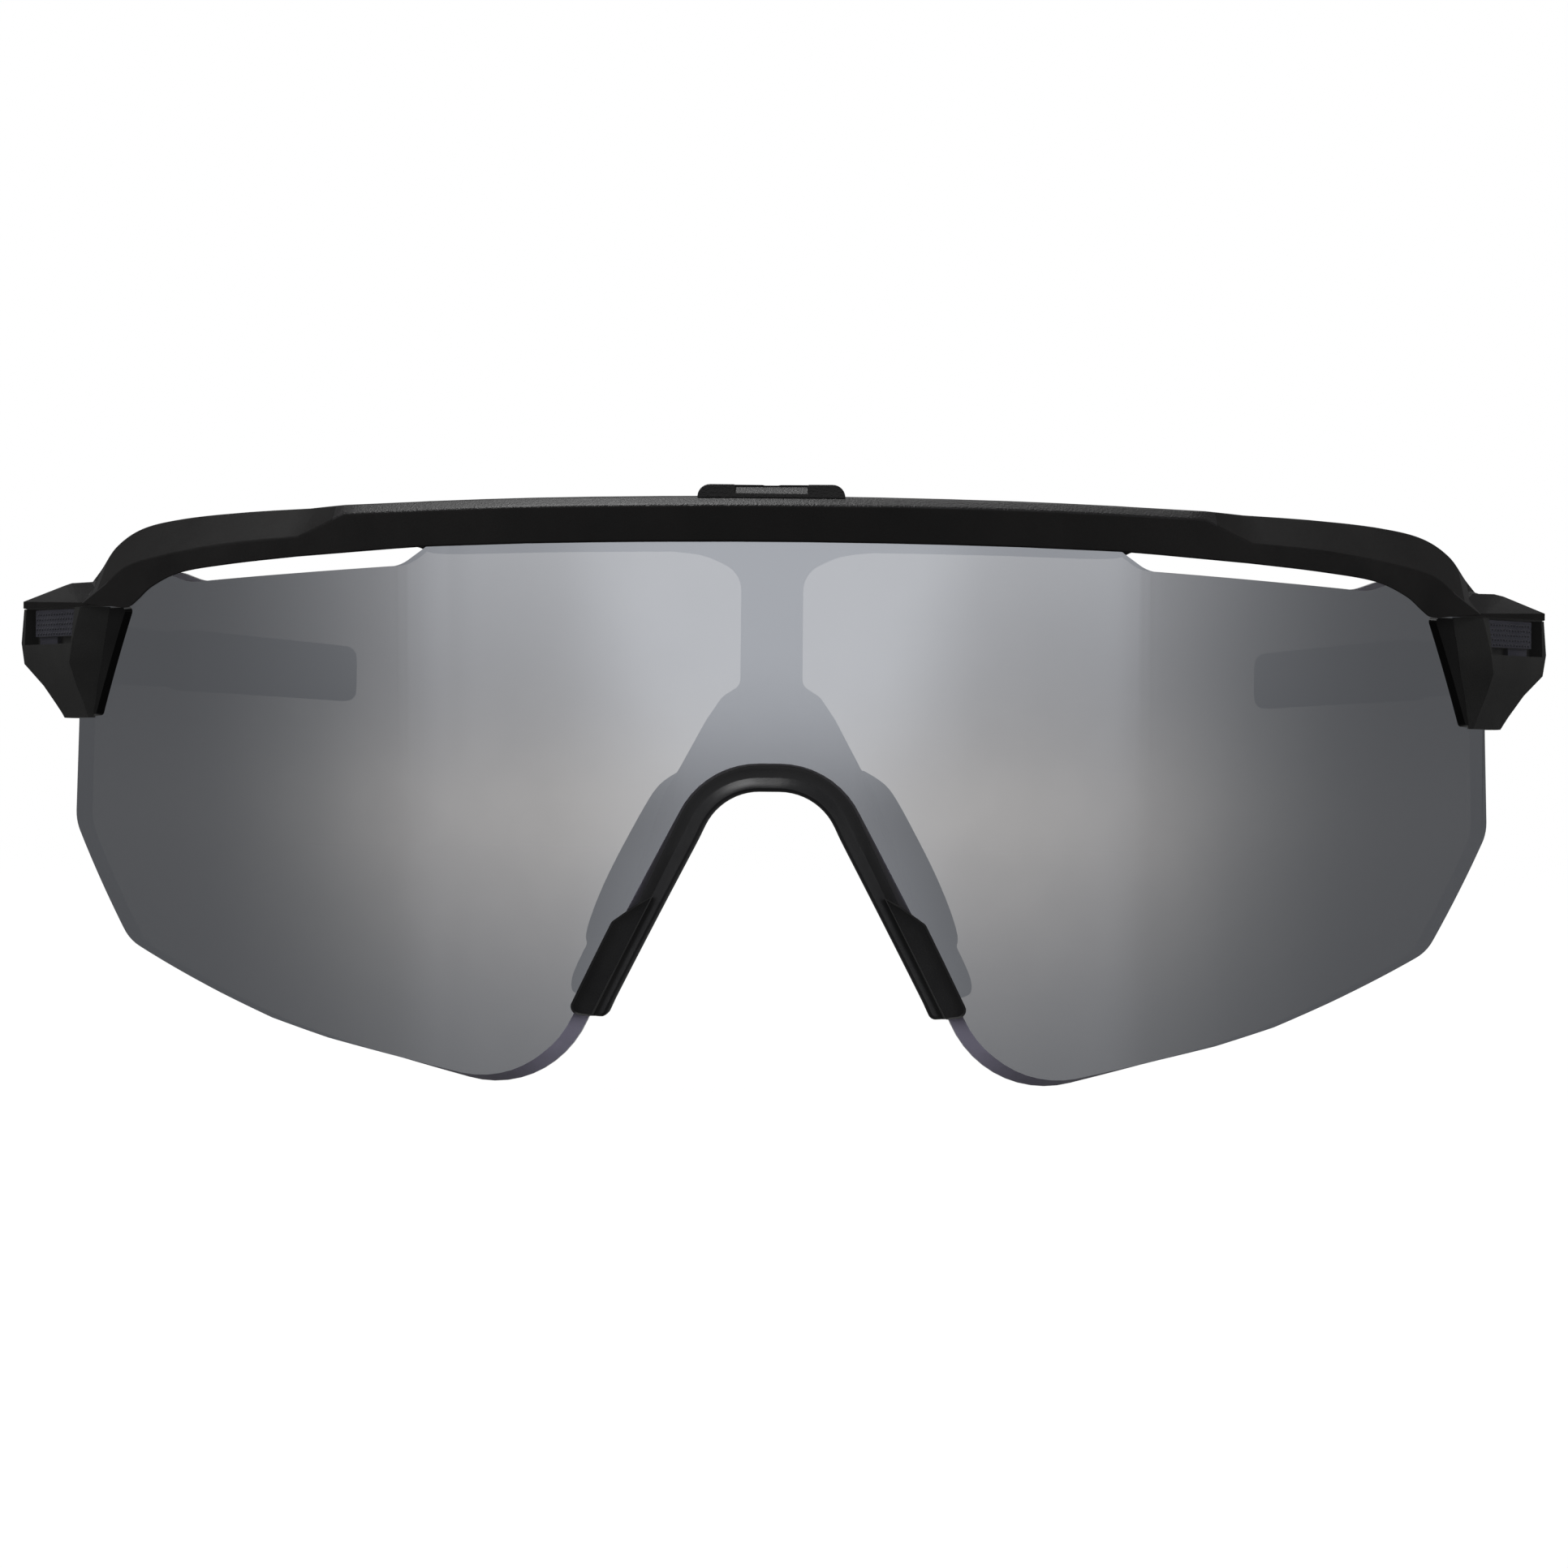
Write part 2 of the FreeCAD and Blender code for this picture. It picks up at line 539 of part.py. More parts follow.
def latch():
    """Release lever on the bar's middle, with its pin and the coil that closes it."""
    half = size("latch_half_width")
    top = size("latch_top")
    axis_y = size("latch_axis_y")
    axis_z = size("latch_axis_z")
    face = [(-half, 25.0, 0), (-half, top, 0.6), (half, top, 0.6), (half, 25.0, 0)]
    plate = prism("latch_plate", face, "front", -1.9, axis_y)
    barrel = pin("latch_barrel_body", "latch_barrel", 6.2, (-4.8, axis_y, axis_z), "x")
    web = block("latch_web", (-4.8, axis_y - 1.1, axis_z), (1.4, axis_y, 25.2))
    bore = pin("latch_bore", "pin_radius + running_gap", 20, (-10, axis_y, axis_z), "x")
    publish("latch_lever", cut("latch_lever", fuse("latch_body", plate, barrel, web), bore))
    publish("latch_pin", pin("latch_pin", "pin_radius", 16.4, (-8.2, axis_y, axis_z), "x"))
    coil = pin("coil_outer", "latch_barrel - 0.3", 3.0, (1.7, axis_y, axis_z), "x")
    hollow = pin("coil_inner", "pin_radius + 0.1", 5.0, (1.0, axis_y, axis_z), "x")
    publish("latch_spring", cut("latch_spring", coil, hollow))


shield_lens()
brow_frame()
nose_bridge()
bridge_screws()
nose_pad()
end_clamp()
vent_mesh()
lens_gasket()
hinge_hardware()
clamp_screw()
temple_arm()
temple_tip()
latch()
doc.recompute()

# ---------------------------------------------------------------- checks and output
faults = [f"{obj.Name}: {obj.State}" for obj in doc.Objects
          if "Invalid" in obj.State or "Error" in obj.State]
for label, obj in nodes.items():
    if obj.Shape.isNull() or not obj.Shape.isValid() or not obj.Shape.Solids:
        faults.append(f"{label}: no valid solid")
if faults:
    raise SystemExit("\n".join(faults))

os.makedirs("parts", exist_ok=True)
for label, obj in nodes.items():
    obj.Shape.exportStep(f"parts/{label}.step")
    print(f"{label}: {len(obj.Shape.Solids)} solid, {obj.Shape.Volume:.1f} mm3")
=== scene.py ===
"""Looks of the wraparound sport sunglasses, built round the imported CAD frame.

Shapes are laid out in millimetres from the centre of the lens's front, worn upright: +X is the wearer's
left, +Y goes back along the arms. at() turns such a point into the frame's metres. Pieces that follow the
lens are drawn flat, as (arc length, depth, height), and bent round the lens's upright axis.
"""
import json
import math

import bmesh
import bpy
from mathutils import Matrix, Vector


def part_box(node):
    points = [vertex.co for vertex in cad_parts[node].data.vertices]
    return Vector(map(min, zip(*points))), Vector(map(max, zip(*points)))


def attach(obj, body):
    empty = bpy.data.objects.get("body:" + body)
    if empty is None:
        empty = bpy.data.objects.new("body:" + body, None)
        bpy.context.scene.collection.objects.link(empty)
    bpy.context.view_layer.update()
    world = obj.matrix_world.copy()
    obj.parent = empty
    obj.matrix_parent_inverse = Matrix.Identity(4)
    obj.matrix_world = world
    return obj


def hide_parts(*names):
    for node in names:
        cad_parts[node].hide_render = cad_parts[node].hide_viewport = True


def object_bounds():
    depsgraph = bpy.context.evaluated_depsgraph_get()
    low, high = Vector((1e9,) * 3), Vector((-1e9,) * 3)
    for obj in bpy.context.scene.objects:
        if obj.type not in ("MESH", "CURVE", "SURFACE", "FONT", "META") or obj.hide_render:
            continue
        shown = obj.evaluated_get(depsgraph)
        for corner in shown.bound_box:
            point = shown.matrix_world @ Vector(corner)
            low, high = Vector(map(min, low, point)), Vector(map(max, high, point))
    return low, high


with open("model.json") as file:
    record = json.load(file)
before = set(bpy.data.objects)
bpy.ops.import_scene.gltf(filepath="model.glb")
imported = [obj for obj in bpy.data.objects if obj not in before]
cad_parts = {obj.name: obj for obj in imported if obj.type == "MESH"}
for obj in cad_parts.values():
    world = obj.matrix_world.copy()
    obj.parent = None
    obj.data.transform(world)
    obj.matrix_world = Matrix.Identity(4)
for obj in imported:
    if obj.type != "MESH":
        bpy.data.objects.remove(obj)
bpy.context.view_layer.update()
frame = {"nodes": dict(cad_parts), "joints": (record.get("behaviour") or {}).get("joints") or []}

# ---------------------------------------------------------------- places read from the frame
MM = 1000.0
LENS_RADIUS = 80.0          # of the lens's front, about its upright axis
LENS_BACK = -2.0            # the lens's back, measured outwards from its front
CROWN_RADIUS = 280.0        # of the crown, from top to bottom
CROWN_HEIGHT = 6.0          # the crown stands out furthest here
VIEW_DISTANCE = 390.0       # from the camera to the lens's front
LENS_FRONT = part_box("shield_lens")[0].y * MM
CLAMP_TOP = 15.8            # top of the CAD clamp
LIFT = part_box("left_end_clamp")[1].z * MM - CLAMP_TOP
HINGE = Vector([c * MM for c in frame["joints"][0]["pos_m"]]) - Vector((0, LENS_FRONT, LIFT))
TIP_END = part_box("left_temple_tip")[1].y * MM - LENS_FRONT
ARM_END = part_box("left_temple_tip")[0].y * MM - LENS_FRONT
LATCH_Y = frame["joints"][2]["pos_m"][1] * MM - LENS_FRONT
LATCH_Z = frame["joints"][2]["pos_m"][2] * MM - LIFT
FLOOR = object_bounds()[0][2]
SIDES = (("left", 1), ("right", -1))


def at(x, y, z):
    """A point of the layout, in the frame's metres."""
    return Vector((x, y + LENS_FRONT, z + LIFT)) / MM


def arc(x, depth=0.0):
    """Arc length at the lens's front of a point that lies x to the side, depth in front of it."""
    return LENS_RADIUS * math.asin(x / (LENS_RADIUS + depth))


def bend(s, depth, z):
    """Wrap a flat point round the lens's axis, on a surface slightly crowned from top to bottom; depth is
    measured outwards from the lens's front."""
    turn = s / LENS_RADIUS
    radius = LENS_RADIUS + depth - (z - CROWN_HEIGHT) ** 2 / (2 * CROWN_RADIUS)
    return Vector((radius * math.sin(turn), LENS_RADIUS - radius * math.cos(turn), z))


def behind(x, z, depth, new_depth):
    """Where the line of sight through a point near the lens, seen from the front, meets another depth."""
    def back(side, level):
        return LENS_RADIUS - math.sqrt((LENS_RADIUS + level) ** 2 - side * side)

    start = back(x, depth)
    share = 1.0
    for _ in range(12):
        share = (VIEW_DISTANCE + back(x * share, new_depth)) / (VIEW_DISTANCE + start)
    return x * share, z * share, new_depth


# ---------------------------------------------------------------- outlines and curves
def rounded(corners, step=7.0, closed=True):
    """Points along an outline of (x, y, radius) corners, with one point per step degrees of turn."""
    points = [Vector(corner[:2]) for corner in corners]
    count = len(points)
    out = []
    for index, (_, _, radius) in enumerate(corners):
        here = points[index]
        if radius == 0 or (not closed and index in (0, count - 1)):
            out.append(here)
            continue
        back = (points[index - 1] - here).normalized()
        ahead = (points[(index + 1) % count] - here).normalized()
        half = back.angle(ahead) / 2
        centre = here + (back + ahead).normalized() * (radius / math.sin(half))
        first = here + back * (radius / math.tan(half)) - centre
        last = here + ahead * (radius / math.tan(half)) - centre
        sweep = first.angle_signed(last)
        parts = max(1, round(math.degrees(abs(sweep)) / step))
        for part in range(parts + 1):
            turned = first.copy()
            turned.rotate(Matrix.Rotation(-sweep * part / parts, 2))
            out.append(centre + turned)
    return out


def soften(loop, radii, parts=3):
    """Round the corners of a closed 3-D loop with short quadratic curves."""
    out = []
    count = len(loop)
    for index, (corner, radius) in enumerate(zip(loop, radii)):
        back = loop[index - 1] - corner
        ahead = loop[(index + 1) % count] - corner
        start = corner + back.normalized() * min(radius, back.length * 0.45)
        end = corner + ahead.normalized() * min(radius, ahead.length * 0.45)
        for part in range(parts + 1):
            t = part / parts
            out.append(start.lerp(corner, t).lerp(corner.lerp(end, t), t))
    return out


def flow(knots, parts):
    """Smooth curve through the knots (Catmull-Rom), with so many points between two knots."""
    out = []
    last = len(knots) - 1
    for index in range(last):
        before = knots[max(index - 1, 0)]
        start = knots[index]
        end = knots[index + 1]
        after = knots[min(index + 2, last)]
        for part in range(parts):
            t = part / parts
            square = 2 * before - 5 * start + 4 * end - after
            cube = 3 * start - before - 3 * end + after
            out.append(0.5 * ((2 * start) + (end - before) * t + square * t * t + cube * t * t * t))
    return out + [knots[last]]


# ---------------------------------------------------------------- meshes
def face_out(bm):
    """Turn every face of a closed skin outwards."""
    bmesh.ops.recalc_face_normals(bm, faces=bm.faces)
    if bm.calc_volume(signed=True) < 0:
        bmesh.ops.reverse_faces(bm, faces=bm.faces)
    bm.normal_update()
    return bm


def loft(loops):
    """Closed skin over a row of loops with the same number of points."""
    bm = bmesh.new()
    rings = [[bm.verts.new(point) for point in loop] for loop in loops]
    count = len(rings[0])
    for ring, after in zip(rings, rings[1:]):
        for index in range(count):
            across = (index + 1) % count
            bm.faces.new((ring[index], ring[across], after[across], after[index]))
    bm.faces.new(list(reversed(rings[0])))
    bm.faces.new(rings[-1])
    return face_out(bm)


def prism(points, low, high, axis="z"):
    """Straight-sided solid on an outline: in plan for axis z, front view for axis y, side view for x."""
    order = {"z": lambda a, b, c: Vector((a, b, c)),
             "y": lambda a, b, c: Vector((a, c, b)),
             "x": lambda a, b, c: Vector((c, a, b))}[axis]
    return loft([[order(a, b, level) for a, b in points] for level in (low, high)])


def circle(centre, radius, count=32):
    turns = [2 * math.pi * index / count for index in range(count)]
    return [(centre[0] + radius * math.cos(turn), centre[1] + radius * math.sin(turn)) for turn in turns]


def bent_plate(outline, back, front, inset=0.0, step=1.0, edge=0.0):
    """Plate with a front-view outline, cut into upright strips and bent round the lens's axis. It has no
    rows, so a strip runs straight from its top edge to its bottom edge, and only the edges follow the
    crown. inset, a number or a function of (x, z), shrinks the front face so that the cut edge shows; edge
    leaves that much of it square."""
    flat = [Vector((arc(x), z)) for x, z in outline]
    if sum(a.x * b.y - b.x * a.y for a, b in zip(flat, flat[1:] + flat[:1])) < 0:
        flat.reverse()
    count = len(flat)
    shrunk = []
    for index, point in enumerate(flat):
        before = (point - flat[index - 1]).normalized()
        after = (flat[(index + 1) % count] - point).normalized()
        inward = Vector((-(before.y + after.y), before.x + after.x)).normalized()
        width = inset(point.x, point.y) if callable(inset) else inset
        shrunk.append(point + inward * width)
    square = [(flat, back + edge)] if edge else []
    levels = [(flat, back)] + square + [(shrunk, front)]
    bm = loft([[Vector((p.x, depth, p.y)) for p in ring] for ring, depth in levels])
    low = min(p.x for p in flat)
    high = max(p.x for p in flat)
    cuts = int((high - low) / step)
    for number in range(1, cuts + 1):
        place = low + (high - low) * number / (cuts + 1)
        geometry = bm.verts[:] + bm.edges[:] + bm.faces[:]
        bmesh.ops.bisect_plane(bm, geom=geometry, plane_co=(place, 0, 0), plane_no=(1, 0, 0), dist=1e-5)
    for vert in bm.verts:
        vert.co = bend(*vert.co)
    return face_out(bm)


def mirror(bm):
    """The same skin on the other side of the middle."""
    for vert in bm.verts:
        vert.co.x = -vert.co.x
    bmesh.ops.reverse_faces(bm, faces=bm.faces)
    return bm


def tube(points, radius, sides=10):
    """Round wire along a path."""
    loops = []
    across = None
    for index, point in enumerate(points):
        along = (points[min(index + 1, len(points) - 1)] - points[max(index - 1, 0)]).normalized()
        across = along.orthogonal() if across is None else across - along * across.dot(along)
        across.normalize()
        other = along.cross(across)
        loops.append([point + radius * (math.cos(t) * across + math.sin(t) * other)
                      for t in (2 * math.pi * side / sides for side in range(sides))])
    return loft(loops)


def to_object(name, bm, materials, paint=None, sharp=32.0):
    """Make the object, in the frame's metres; paint(face centre, face normal) picks a material's place."""
    edges = [edge for edge in bm.edges if edge.is_manifold and math.degrees(edge.calc_face_angle(0)) > sharp]
    for face in bm.faces:
        face.smooth = True
        if paint:
            face.material_index = paint(face.calc_center_median(), face.normal)
    for edge in edges:
        edge.smooth = False
    for vert in bm.verts:
        vert.co = at(*vert.co)
    mesh = bpy.data.meshes.new(name)
    bm.to_mesh(mesh)
    bm.free()
    obj = bpy.data.objects.new(name, mesh)
    bpy.context.scene.collection.objects.link(obj)
    for material in materials:
        mesh.materials.append(material)
    return obj


def joined(*skins):
    """Several skins as one bmesh."""
    bm = skins[0]
    for other in skins[1:]:
        mesh = bpy.data.meshes.new("part")
        other.to_mesh(mesh)
        bm.from_mesh(mesh)
        bpy.data.meshes.remove(mesh)
        other.free()
    return bm


def combine(bm, other, operation):
    """Exact union or difference of two closed skins."""
    pair = []
    for number, skin in enumerate((bm, other)):
        mesh = bpy.data.meshes.new(f"operand_{number}")
        skin.to_mesh(mesh)
        skin.free()
        obj = bpy.data.objects.new(f"operand_{number}", mesh)
        bpy.context.scene.collection.objects.link(obj)
        pair.append(obj)
    modifier = pair[0].modifiers.new("combine", "BOOLEAN")
    modifier.operation = operation
    modifier.solver = "EXACT"
    modifier.object = pair[1]
    graph = bpy.context.evaluated_depsgraph_get()
    result = bmesh.new()
    result.from_object(pair[0], graph)
    for obj in pair:
        mesh = obj.data
        bpy.data.objects.remove(obj)
        bpy.data.meshes.remove(mesh)
    bmesh.ops.remove_doubles(result, verts=result.verts, dist=0.002)
    bmesh.ops.dissolve_limit(result, angle_limit=math.radians(0.5), verts=result.verts, edges=result.edges)
    return result


def round_edges(obj, width, segments=3, angle=28.0):
    """Round every edge sharper than the angle, by a width in millimetres."""
    modifier = obj.modifiers.new("edges", "BEVEL")
    modifier.width = width / MM
    modifier.segments = segments
    modifier.limit_method = "ANGLE"
    modifier.angle_limit = math.radians(angle)
    even_normals(obj, 100)


def even_normals(obj, weight=50):
    """Shade by the larger faces, and keep the sharp edges."""
    weighted = obj.modifiers.new("normals", "WEIGHTED_NORMAL")
    weighted.keep_sharp = True
    weighted.weight = weight


def piece(obj, body, slot, *nodes):
    """Attach a finished object to its body and hide the CAD nodes it stands for. slot is not used. It stays
    out of mirror reflections, so that the lens shows no dark neighbours."""
    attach(obj, body)
    obj.visible_glossy = False
    if nodes:
        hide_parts(*nodes)
    return obj


# ---------------------------------------------------------------- materials
def new_material(name, colour, roughness, metallic=0.0, specular=0.5):
    material = bpy.data.materials.new(name)
    material.use_nodes = True
    shader = material.node_tree.nodes["Principled BSDF"]
    shader.inputs["Base Color"].default_value = (*colour, 1)
    shader.inputs["Roughness"].default_value = roughness
    shader.inputs["Metallic"].default_value = metallic
    shader.inputs["Specular IOR Level"].default_value = specular
    return material, material.node_tree, shader


def noise(tree, scale, detail=4.0, roughness=0.6, stretch=None):
    """Noise in the object's own space, so it stays put on the piece; scale is in waves per metre."""
    place = tree.nodes.new("ShaderNodeTexCoord")
    texture = tree.nodes.new("ShaderNodeTexNoise")
    texture.inputs["Scale"].default_value = scale
    texture.inputs["Detail"].default_value = detail
    texture.inputs["Roughness"].default_value = roughness
    source = place.outputs["Object"]
    if stretch:
        mapping = tree.nodes.new("ShaderNodeMapping")
        mapping.inputs["Scale"].default_value = stretch
        tree.links.new(source, mapping.inputs["Vector"])
        source = mapping.outputs["Vector"]
    tree.links.new(source, texture.inputs["Vector"])
    return texture.outputs["Fac"]


def spread(tree, value, low, high, start=0.3, end=0.7):
    """Map a value to a range."""
    node = tree.nodes.new("ShaderNodeMapRange")
    node.inputs["From Min"].default_value = start
    node.inputs["From Max"].default_value = end
    node.inputs["To Min"].default_value = low
    node.inputs["To Max"].default_value = high
    tree.links.new(value, node.inputs["Value"])
    return node.outputs["Result"]


def blend_colours(tree, value, first, second, start=0.3, end=0.7):
    ramp = tree.nodes.new("ShaderNodeValToRGB")
    ramp.color_ramp.elements[0].position = start
    ramp.color_ramp.elements[0].color = (*first, 1)
    ramp.color_ramp.elements[1].position = end
    ramp.color_ramp.elements[1].color = (*second, 1)
    tree.links.new(value, ramp.inputs["Fac"])
    return ramp.outputs["Color"]


def add_bump(tree, shader, value, height, strength=1.0):
    """Relief of a height in millimetres from a 0 to 1 value."""
    bump = tree.nodes.new("ShaderNodeBump")
    bump.inputs["Strength"].default_value = strength
    bump.inputs["Distance"].default_value = height / MM
    tree.links.new(value, bump.inputs["Height"])
    tree.links.new(bump.outputs["Normal"], shader.inputs["Normal"])


def moulded_plastic(name, dark, light, roughness, specular, grain=9000.0, relief=0.012):
    """Moulded plastic: fine spark-eroded grain, slow changes of tone, handled patches a little smoother."""
    material, tree, shader = new_material(name, dark, roughness, specular=specular)
    slow = noise(tree, 160.0, 3.0)
    fine = noise(tree, grain, 2.0)
    tree.links.new(blend_colours(tree, slow, dark, light), shader.inputs["Base Color"])
    tree.links.new(spread(tree, slow, roughness - 0.06, roughness + 0.06), shader.inputs["Roughness"])
    add_bump(tree, shader, fine, relief)
    return material


def metal(name, dark, light, roughness, stretch):
    """Machined metal with marks drawn out along one direction."""
    material, tree, shader = new_material(name, light, roughness, metallic=1.0)
    marks = noise(tree, 3000.0, 3.0, stretch=stretch)
    tree.links.new(blend_colours(tree, marks, dark, light), shader.inputs["Base Color"])
    tree.links.new(spread(tree, marks, roughness - 0.08, roughness + 0.1), shader.inputs["Roughness"])
    add_bump(tree, shader, marks, 0.004)
    return material


def add_ramp(tree, value, stops):
    """Grey levels at places from 0 to 1."""
    ramp = tree.nodes.new("ShaderNodeValToRGB")
    ramp.color_ramp.interpolation = "B_SPLINE"
    for index, (position, level) in enumerate(stops):
        stop = ramp.color_ramp.elements[index] if index < 2 else ramp.color_ramp.elements.new(position)
        stop.position = position
        stop.color = (level, level, level, 1)
    tree.links.new(value, ramp.inputs["Fac"])
    return ramp.outputs["Color"]


def maths(tree, operation, first, second=None):
    node = tree.nodes.new("ShaderNodeMath")
    node.operation = operation
    for index, value in enumerate((first, second)):
        if isinstance(value, (int, float)):
            node.inputs[index].default_value = value
        elif value is not None:
            tree.links.new(value, node.inputs[index])
    return node.outputs[0]


def mirror_front():
    """Silver coat on the lens's front, with painted light: how much light it lets through is graded by place,
    which paints a bright pool of light in the middle. It lets about half of the light through at the middle,
    less towards the top and the foot, and hardly any at the sides."""
    material, tree, shader = new_material("lens_mirror", (0.84, 0.875, 0.95), 0.09, metallic=1.0)
    place = tree.nodes.new("ShaderNodeTexCoord")
    split = tree.nodes.new("ShaderNodeSeparateXYZ")
    tree.links.new(place.outputs["Object"], split.inputs["Vector"])
    low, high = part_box("shield_lens")
    height = spread(tree, split.outputs["Z"], 0.0, 1.0, low.z, high.z)
    side = spread(tree, maths(tree, "ABSOLUTE", split.outputs["X"]), 0.0, 1.0, 0.0, high.x)
    # painted light: the see-through share by height and by side paints a bright pool of light in the middle
    # of the lens
    painted_light_by_height = add_ramp(tree, height, [(0.0, 0.05), (0.17, 0.17), (0.29, 0.3), (0.41, 0.46), (0.51, 0.58),
                                        (0.6, 0.42), (0.7, 0.26), (0.79, 0.2)])
    painted_light_by_side = add_ramp(tree, side, [(0.22, 1.0), (0.32, 0.93), (0.39, 0.84), (0.46, 0.68), (0.54, 0.48),
                                    (0.61, 0.27), (0.7, 0.12), (0.78, 0.06), (1.0, 0.03)])
    tone = spread(tree, noise(tree, 220.0, 2.0), 0.08, 0.1)
    tree.links.new(tone, shader.inputs["Roughness"])
    clear = tree.nodes.new("ShaderNodeBsdfTransparent")
    clear.inputs["Color"].default_value = (1.0, 0.965, 0.93, 1)
    mix = tree.nodes.new("ShaderNodeMixShader")
    tree.links.new(maths(tree, "MULTIPLY", painted_light_by_height, painted_light_by_side), mix.inputs["Fac"])
    tree.links.new(shader.outputs["BSDF"], mix.inputs[1])
    tree.links.new(clear.outputs["BSDF"], mix.inputs[2])
    tree.links.new(mix.outputs["Shader"], tree.nodes["Material Output"].inputs["Surface"])
    return material


def smoke_back():
    """Smoke polycarbonate, which is what the lens's back and its square edge show."""
    material, tree, shader = new_material("lens_smoke", (0.02, 0.02, 0.024), 0.12, specular=0.35)
    tone = noise(tree, 120.0, 2.0)
    tree.links.new(blend_colours(tree, tone, (0.016, 0.016, 0.02), (0.022, 0.022, 0.027)),
                   shader.inputs["Base Color"])
    tree.links.new(spread(tree, tone, 0.48, 0.52), shader.inputs["Alpha"])
    return material


frame_plastic = moulded_plastic("bar_plastic", (0.006, 0.0058, 0.0058), (0.0085, 0.0081, 0.008), 0.5, 0.13)
grain_plastic = moulded_plastic("bar_grain", (0.005, 0.0048, 0.0052), (0.010, 0.0096, 0.010), 0.31, 0.42,
                                grain=5200.0, relief=0.05)
clamp_plastic = moulded_plastic("clamp_plastic", (0.013, 0.013, 0.013), (0.018, 0.018, 0.0175), 0.42, 0.3)
bridge_plastic = moulded_plastic("bridge_plastic", (0.012, 0.012, 0.013), (0.017, 0.017, 0.018), 0.38, 0.35)
arm_plastic = moulded_plastic("arm_plastic", (0.012, 0.012, 0.012), (0.017, 0.0165, 0.016), 0.46, 0.3)
# painted reflection: the nose pads' bluish grey is lighter than their black rubber and stands in for the
# lens's bluish reflection seen over them
pad_rubber = moulded_plastic("pad_rubber", (0.030, 0.036, 0.042), (0.040, 0.047, 0.054), 0.68, 0.3,
                             grain=7000.0, relief=0.02)
tip_rubber = moulded_plastic("tip_rubber", (0.014, 0.014, 0.0145), (0.020, 0.020, 0.0205), 0.72, 0.3,
                             grain=7000.0, relief=0.02)
gasket_plastic = moulded_plastic("gasket_plastic", (0.003, 0.003, 0.003), (0.005, 0.005, 0.005), 0.2, 0.15,
                                 grain=3000.0, relief=0.001)
mesh_plastic = moulded_plastic("mesh_plastic", (0.016, 0.016, 0.022), (0.026, 0.026, 0.033), 0.5, 0.4,
                               grain=6000.0, relief=0.02)
# lens edge: light lilac, partly the lens's tint and partly a painted highlight of the polished edge catching
# light
edge_tint_and_highlight = moulded_plastic("lens_edge", (0.26, 0.25, 0.33), (0.32, 0.30, 0.40), 0.35, 0.5,
                               grain=4000.0, relief=0.01)
steel = metal("steel", (0.42, 0.42, 0.43), (0.62, 0.62, 0.63), 0.32, (1, 1, 12))
brass = metal("brass", (0.55, 0.40, 0.18), (0.78, 0.60, 0.30), 0.3, (1, 1, 10))
lens_mirror = mirror_front()
lens_smoke = smoke_back()


# ---------------------------------------------------------------- shapes shared by several pieces
NOSE_TOP = 1.6
NOSE_LEAN = math.radians(25.6)      # of the straight sides, from upright
NOSE_CORNER = 5.67                  # where a side would meet the top, without its rounding
NOSE_RADIUS = 7.6


def side_x(height, offset=0.0):
    """X of the nose cut-out's straight side at a height; offset moves it outwards."""
    return NOSE_CORNER + (NOSE_TOP - height) * math.tan(NOSE_LEAN) + offset / math.cos(NOSE_LEAN)


def nose_arch(offset, foot, radius):
    """Corners of the nose opening from foot to foot over its top, offset outwards."""
    top = NOSE_TOP + offset
    corner = NOSE_CORNER + offset * math.tan((math.pi / 2 - NOSE_LEAN) / 2)
    return [(-side_x(foot, offset), foot, 0), (-corner, top, radius), (corner, top, radius),
            (side_x(foot, offset), foot, 0)]


# ---------------------------------------------------------------- pieces
def build_lens():
    side = [(29.0, 22.1, 1.5), (33.2, 19.15, 3), (54.0, 18.15, 4), (57.2, 19.3, 3), (62.0, 17.2, 3),
            (66.3, 15.0, 2), (66.5, 5.0, 12), (67.0, -4.2, 4), (61.0, -15.2, 4), (46.0, -21.9, 60),
            (20.0, -28.0, 10.0)]
    arch = nose_arch(0.0, -10.0, NOSE_RADIUS)
    narrow = 0.16
    broader = 0.8
    lobe_top = -17
    lobe_side = 34
    outline = [(-x, z, r) for x, z, r in reversed(side)] + side + [arch[2], arch[1]]

    def cut_edge(s, z):
        """Width of the slanted edge: broad round the two lobes beside the nose, narrow elsewhere."""
        across = abs(s)
        if z > lobe_top or across > lobe_side:
            return narrow
        lobe = min(1.0, (lobe_side - across) / 14) * min(1.0, (lobe_top - z) / 3)
        return narrow + broader * lobe

    bm = bent_plate(rounded(outline), LENS_BACK, 0.0, inset=cut_edge, edge=0.3)

    def paint(centre, normal):
        """Coat in front, smoke behind, and the light tinted edge, partly a painted highlight, on what faces
        neither way.
        """
        outward = Vector((centre.x, centre.y - LENS_RADIUS, 0)).normalized()
        facing = outward.dot(normal)
        if facing > 0.98:
            return 0
        return 2 if facing > 0.04 else 1

    obj = to_object("lens", bm, [lens_mirror, lens_smoke, edge_tint_and_highlight], paint, sharp=18)
    return piece(obj, "front", "mirror_lens", "shield_lens")


BAR_FRONT = 3.0             # both measured outwards from the lens's front
BAR_REAR = -4.0


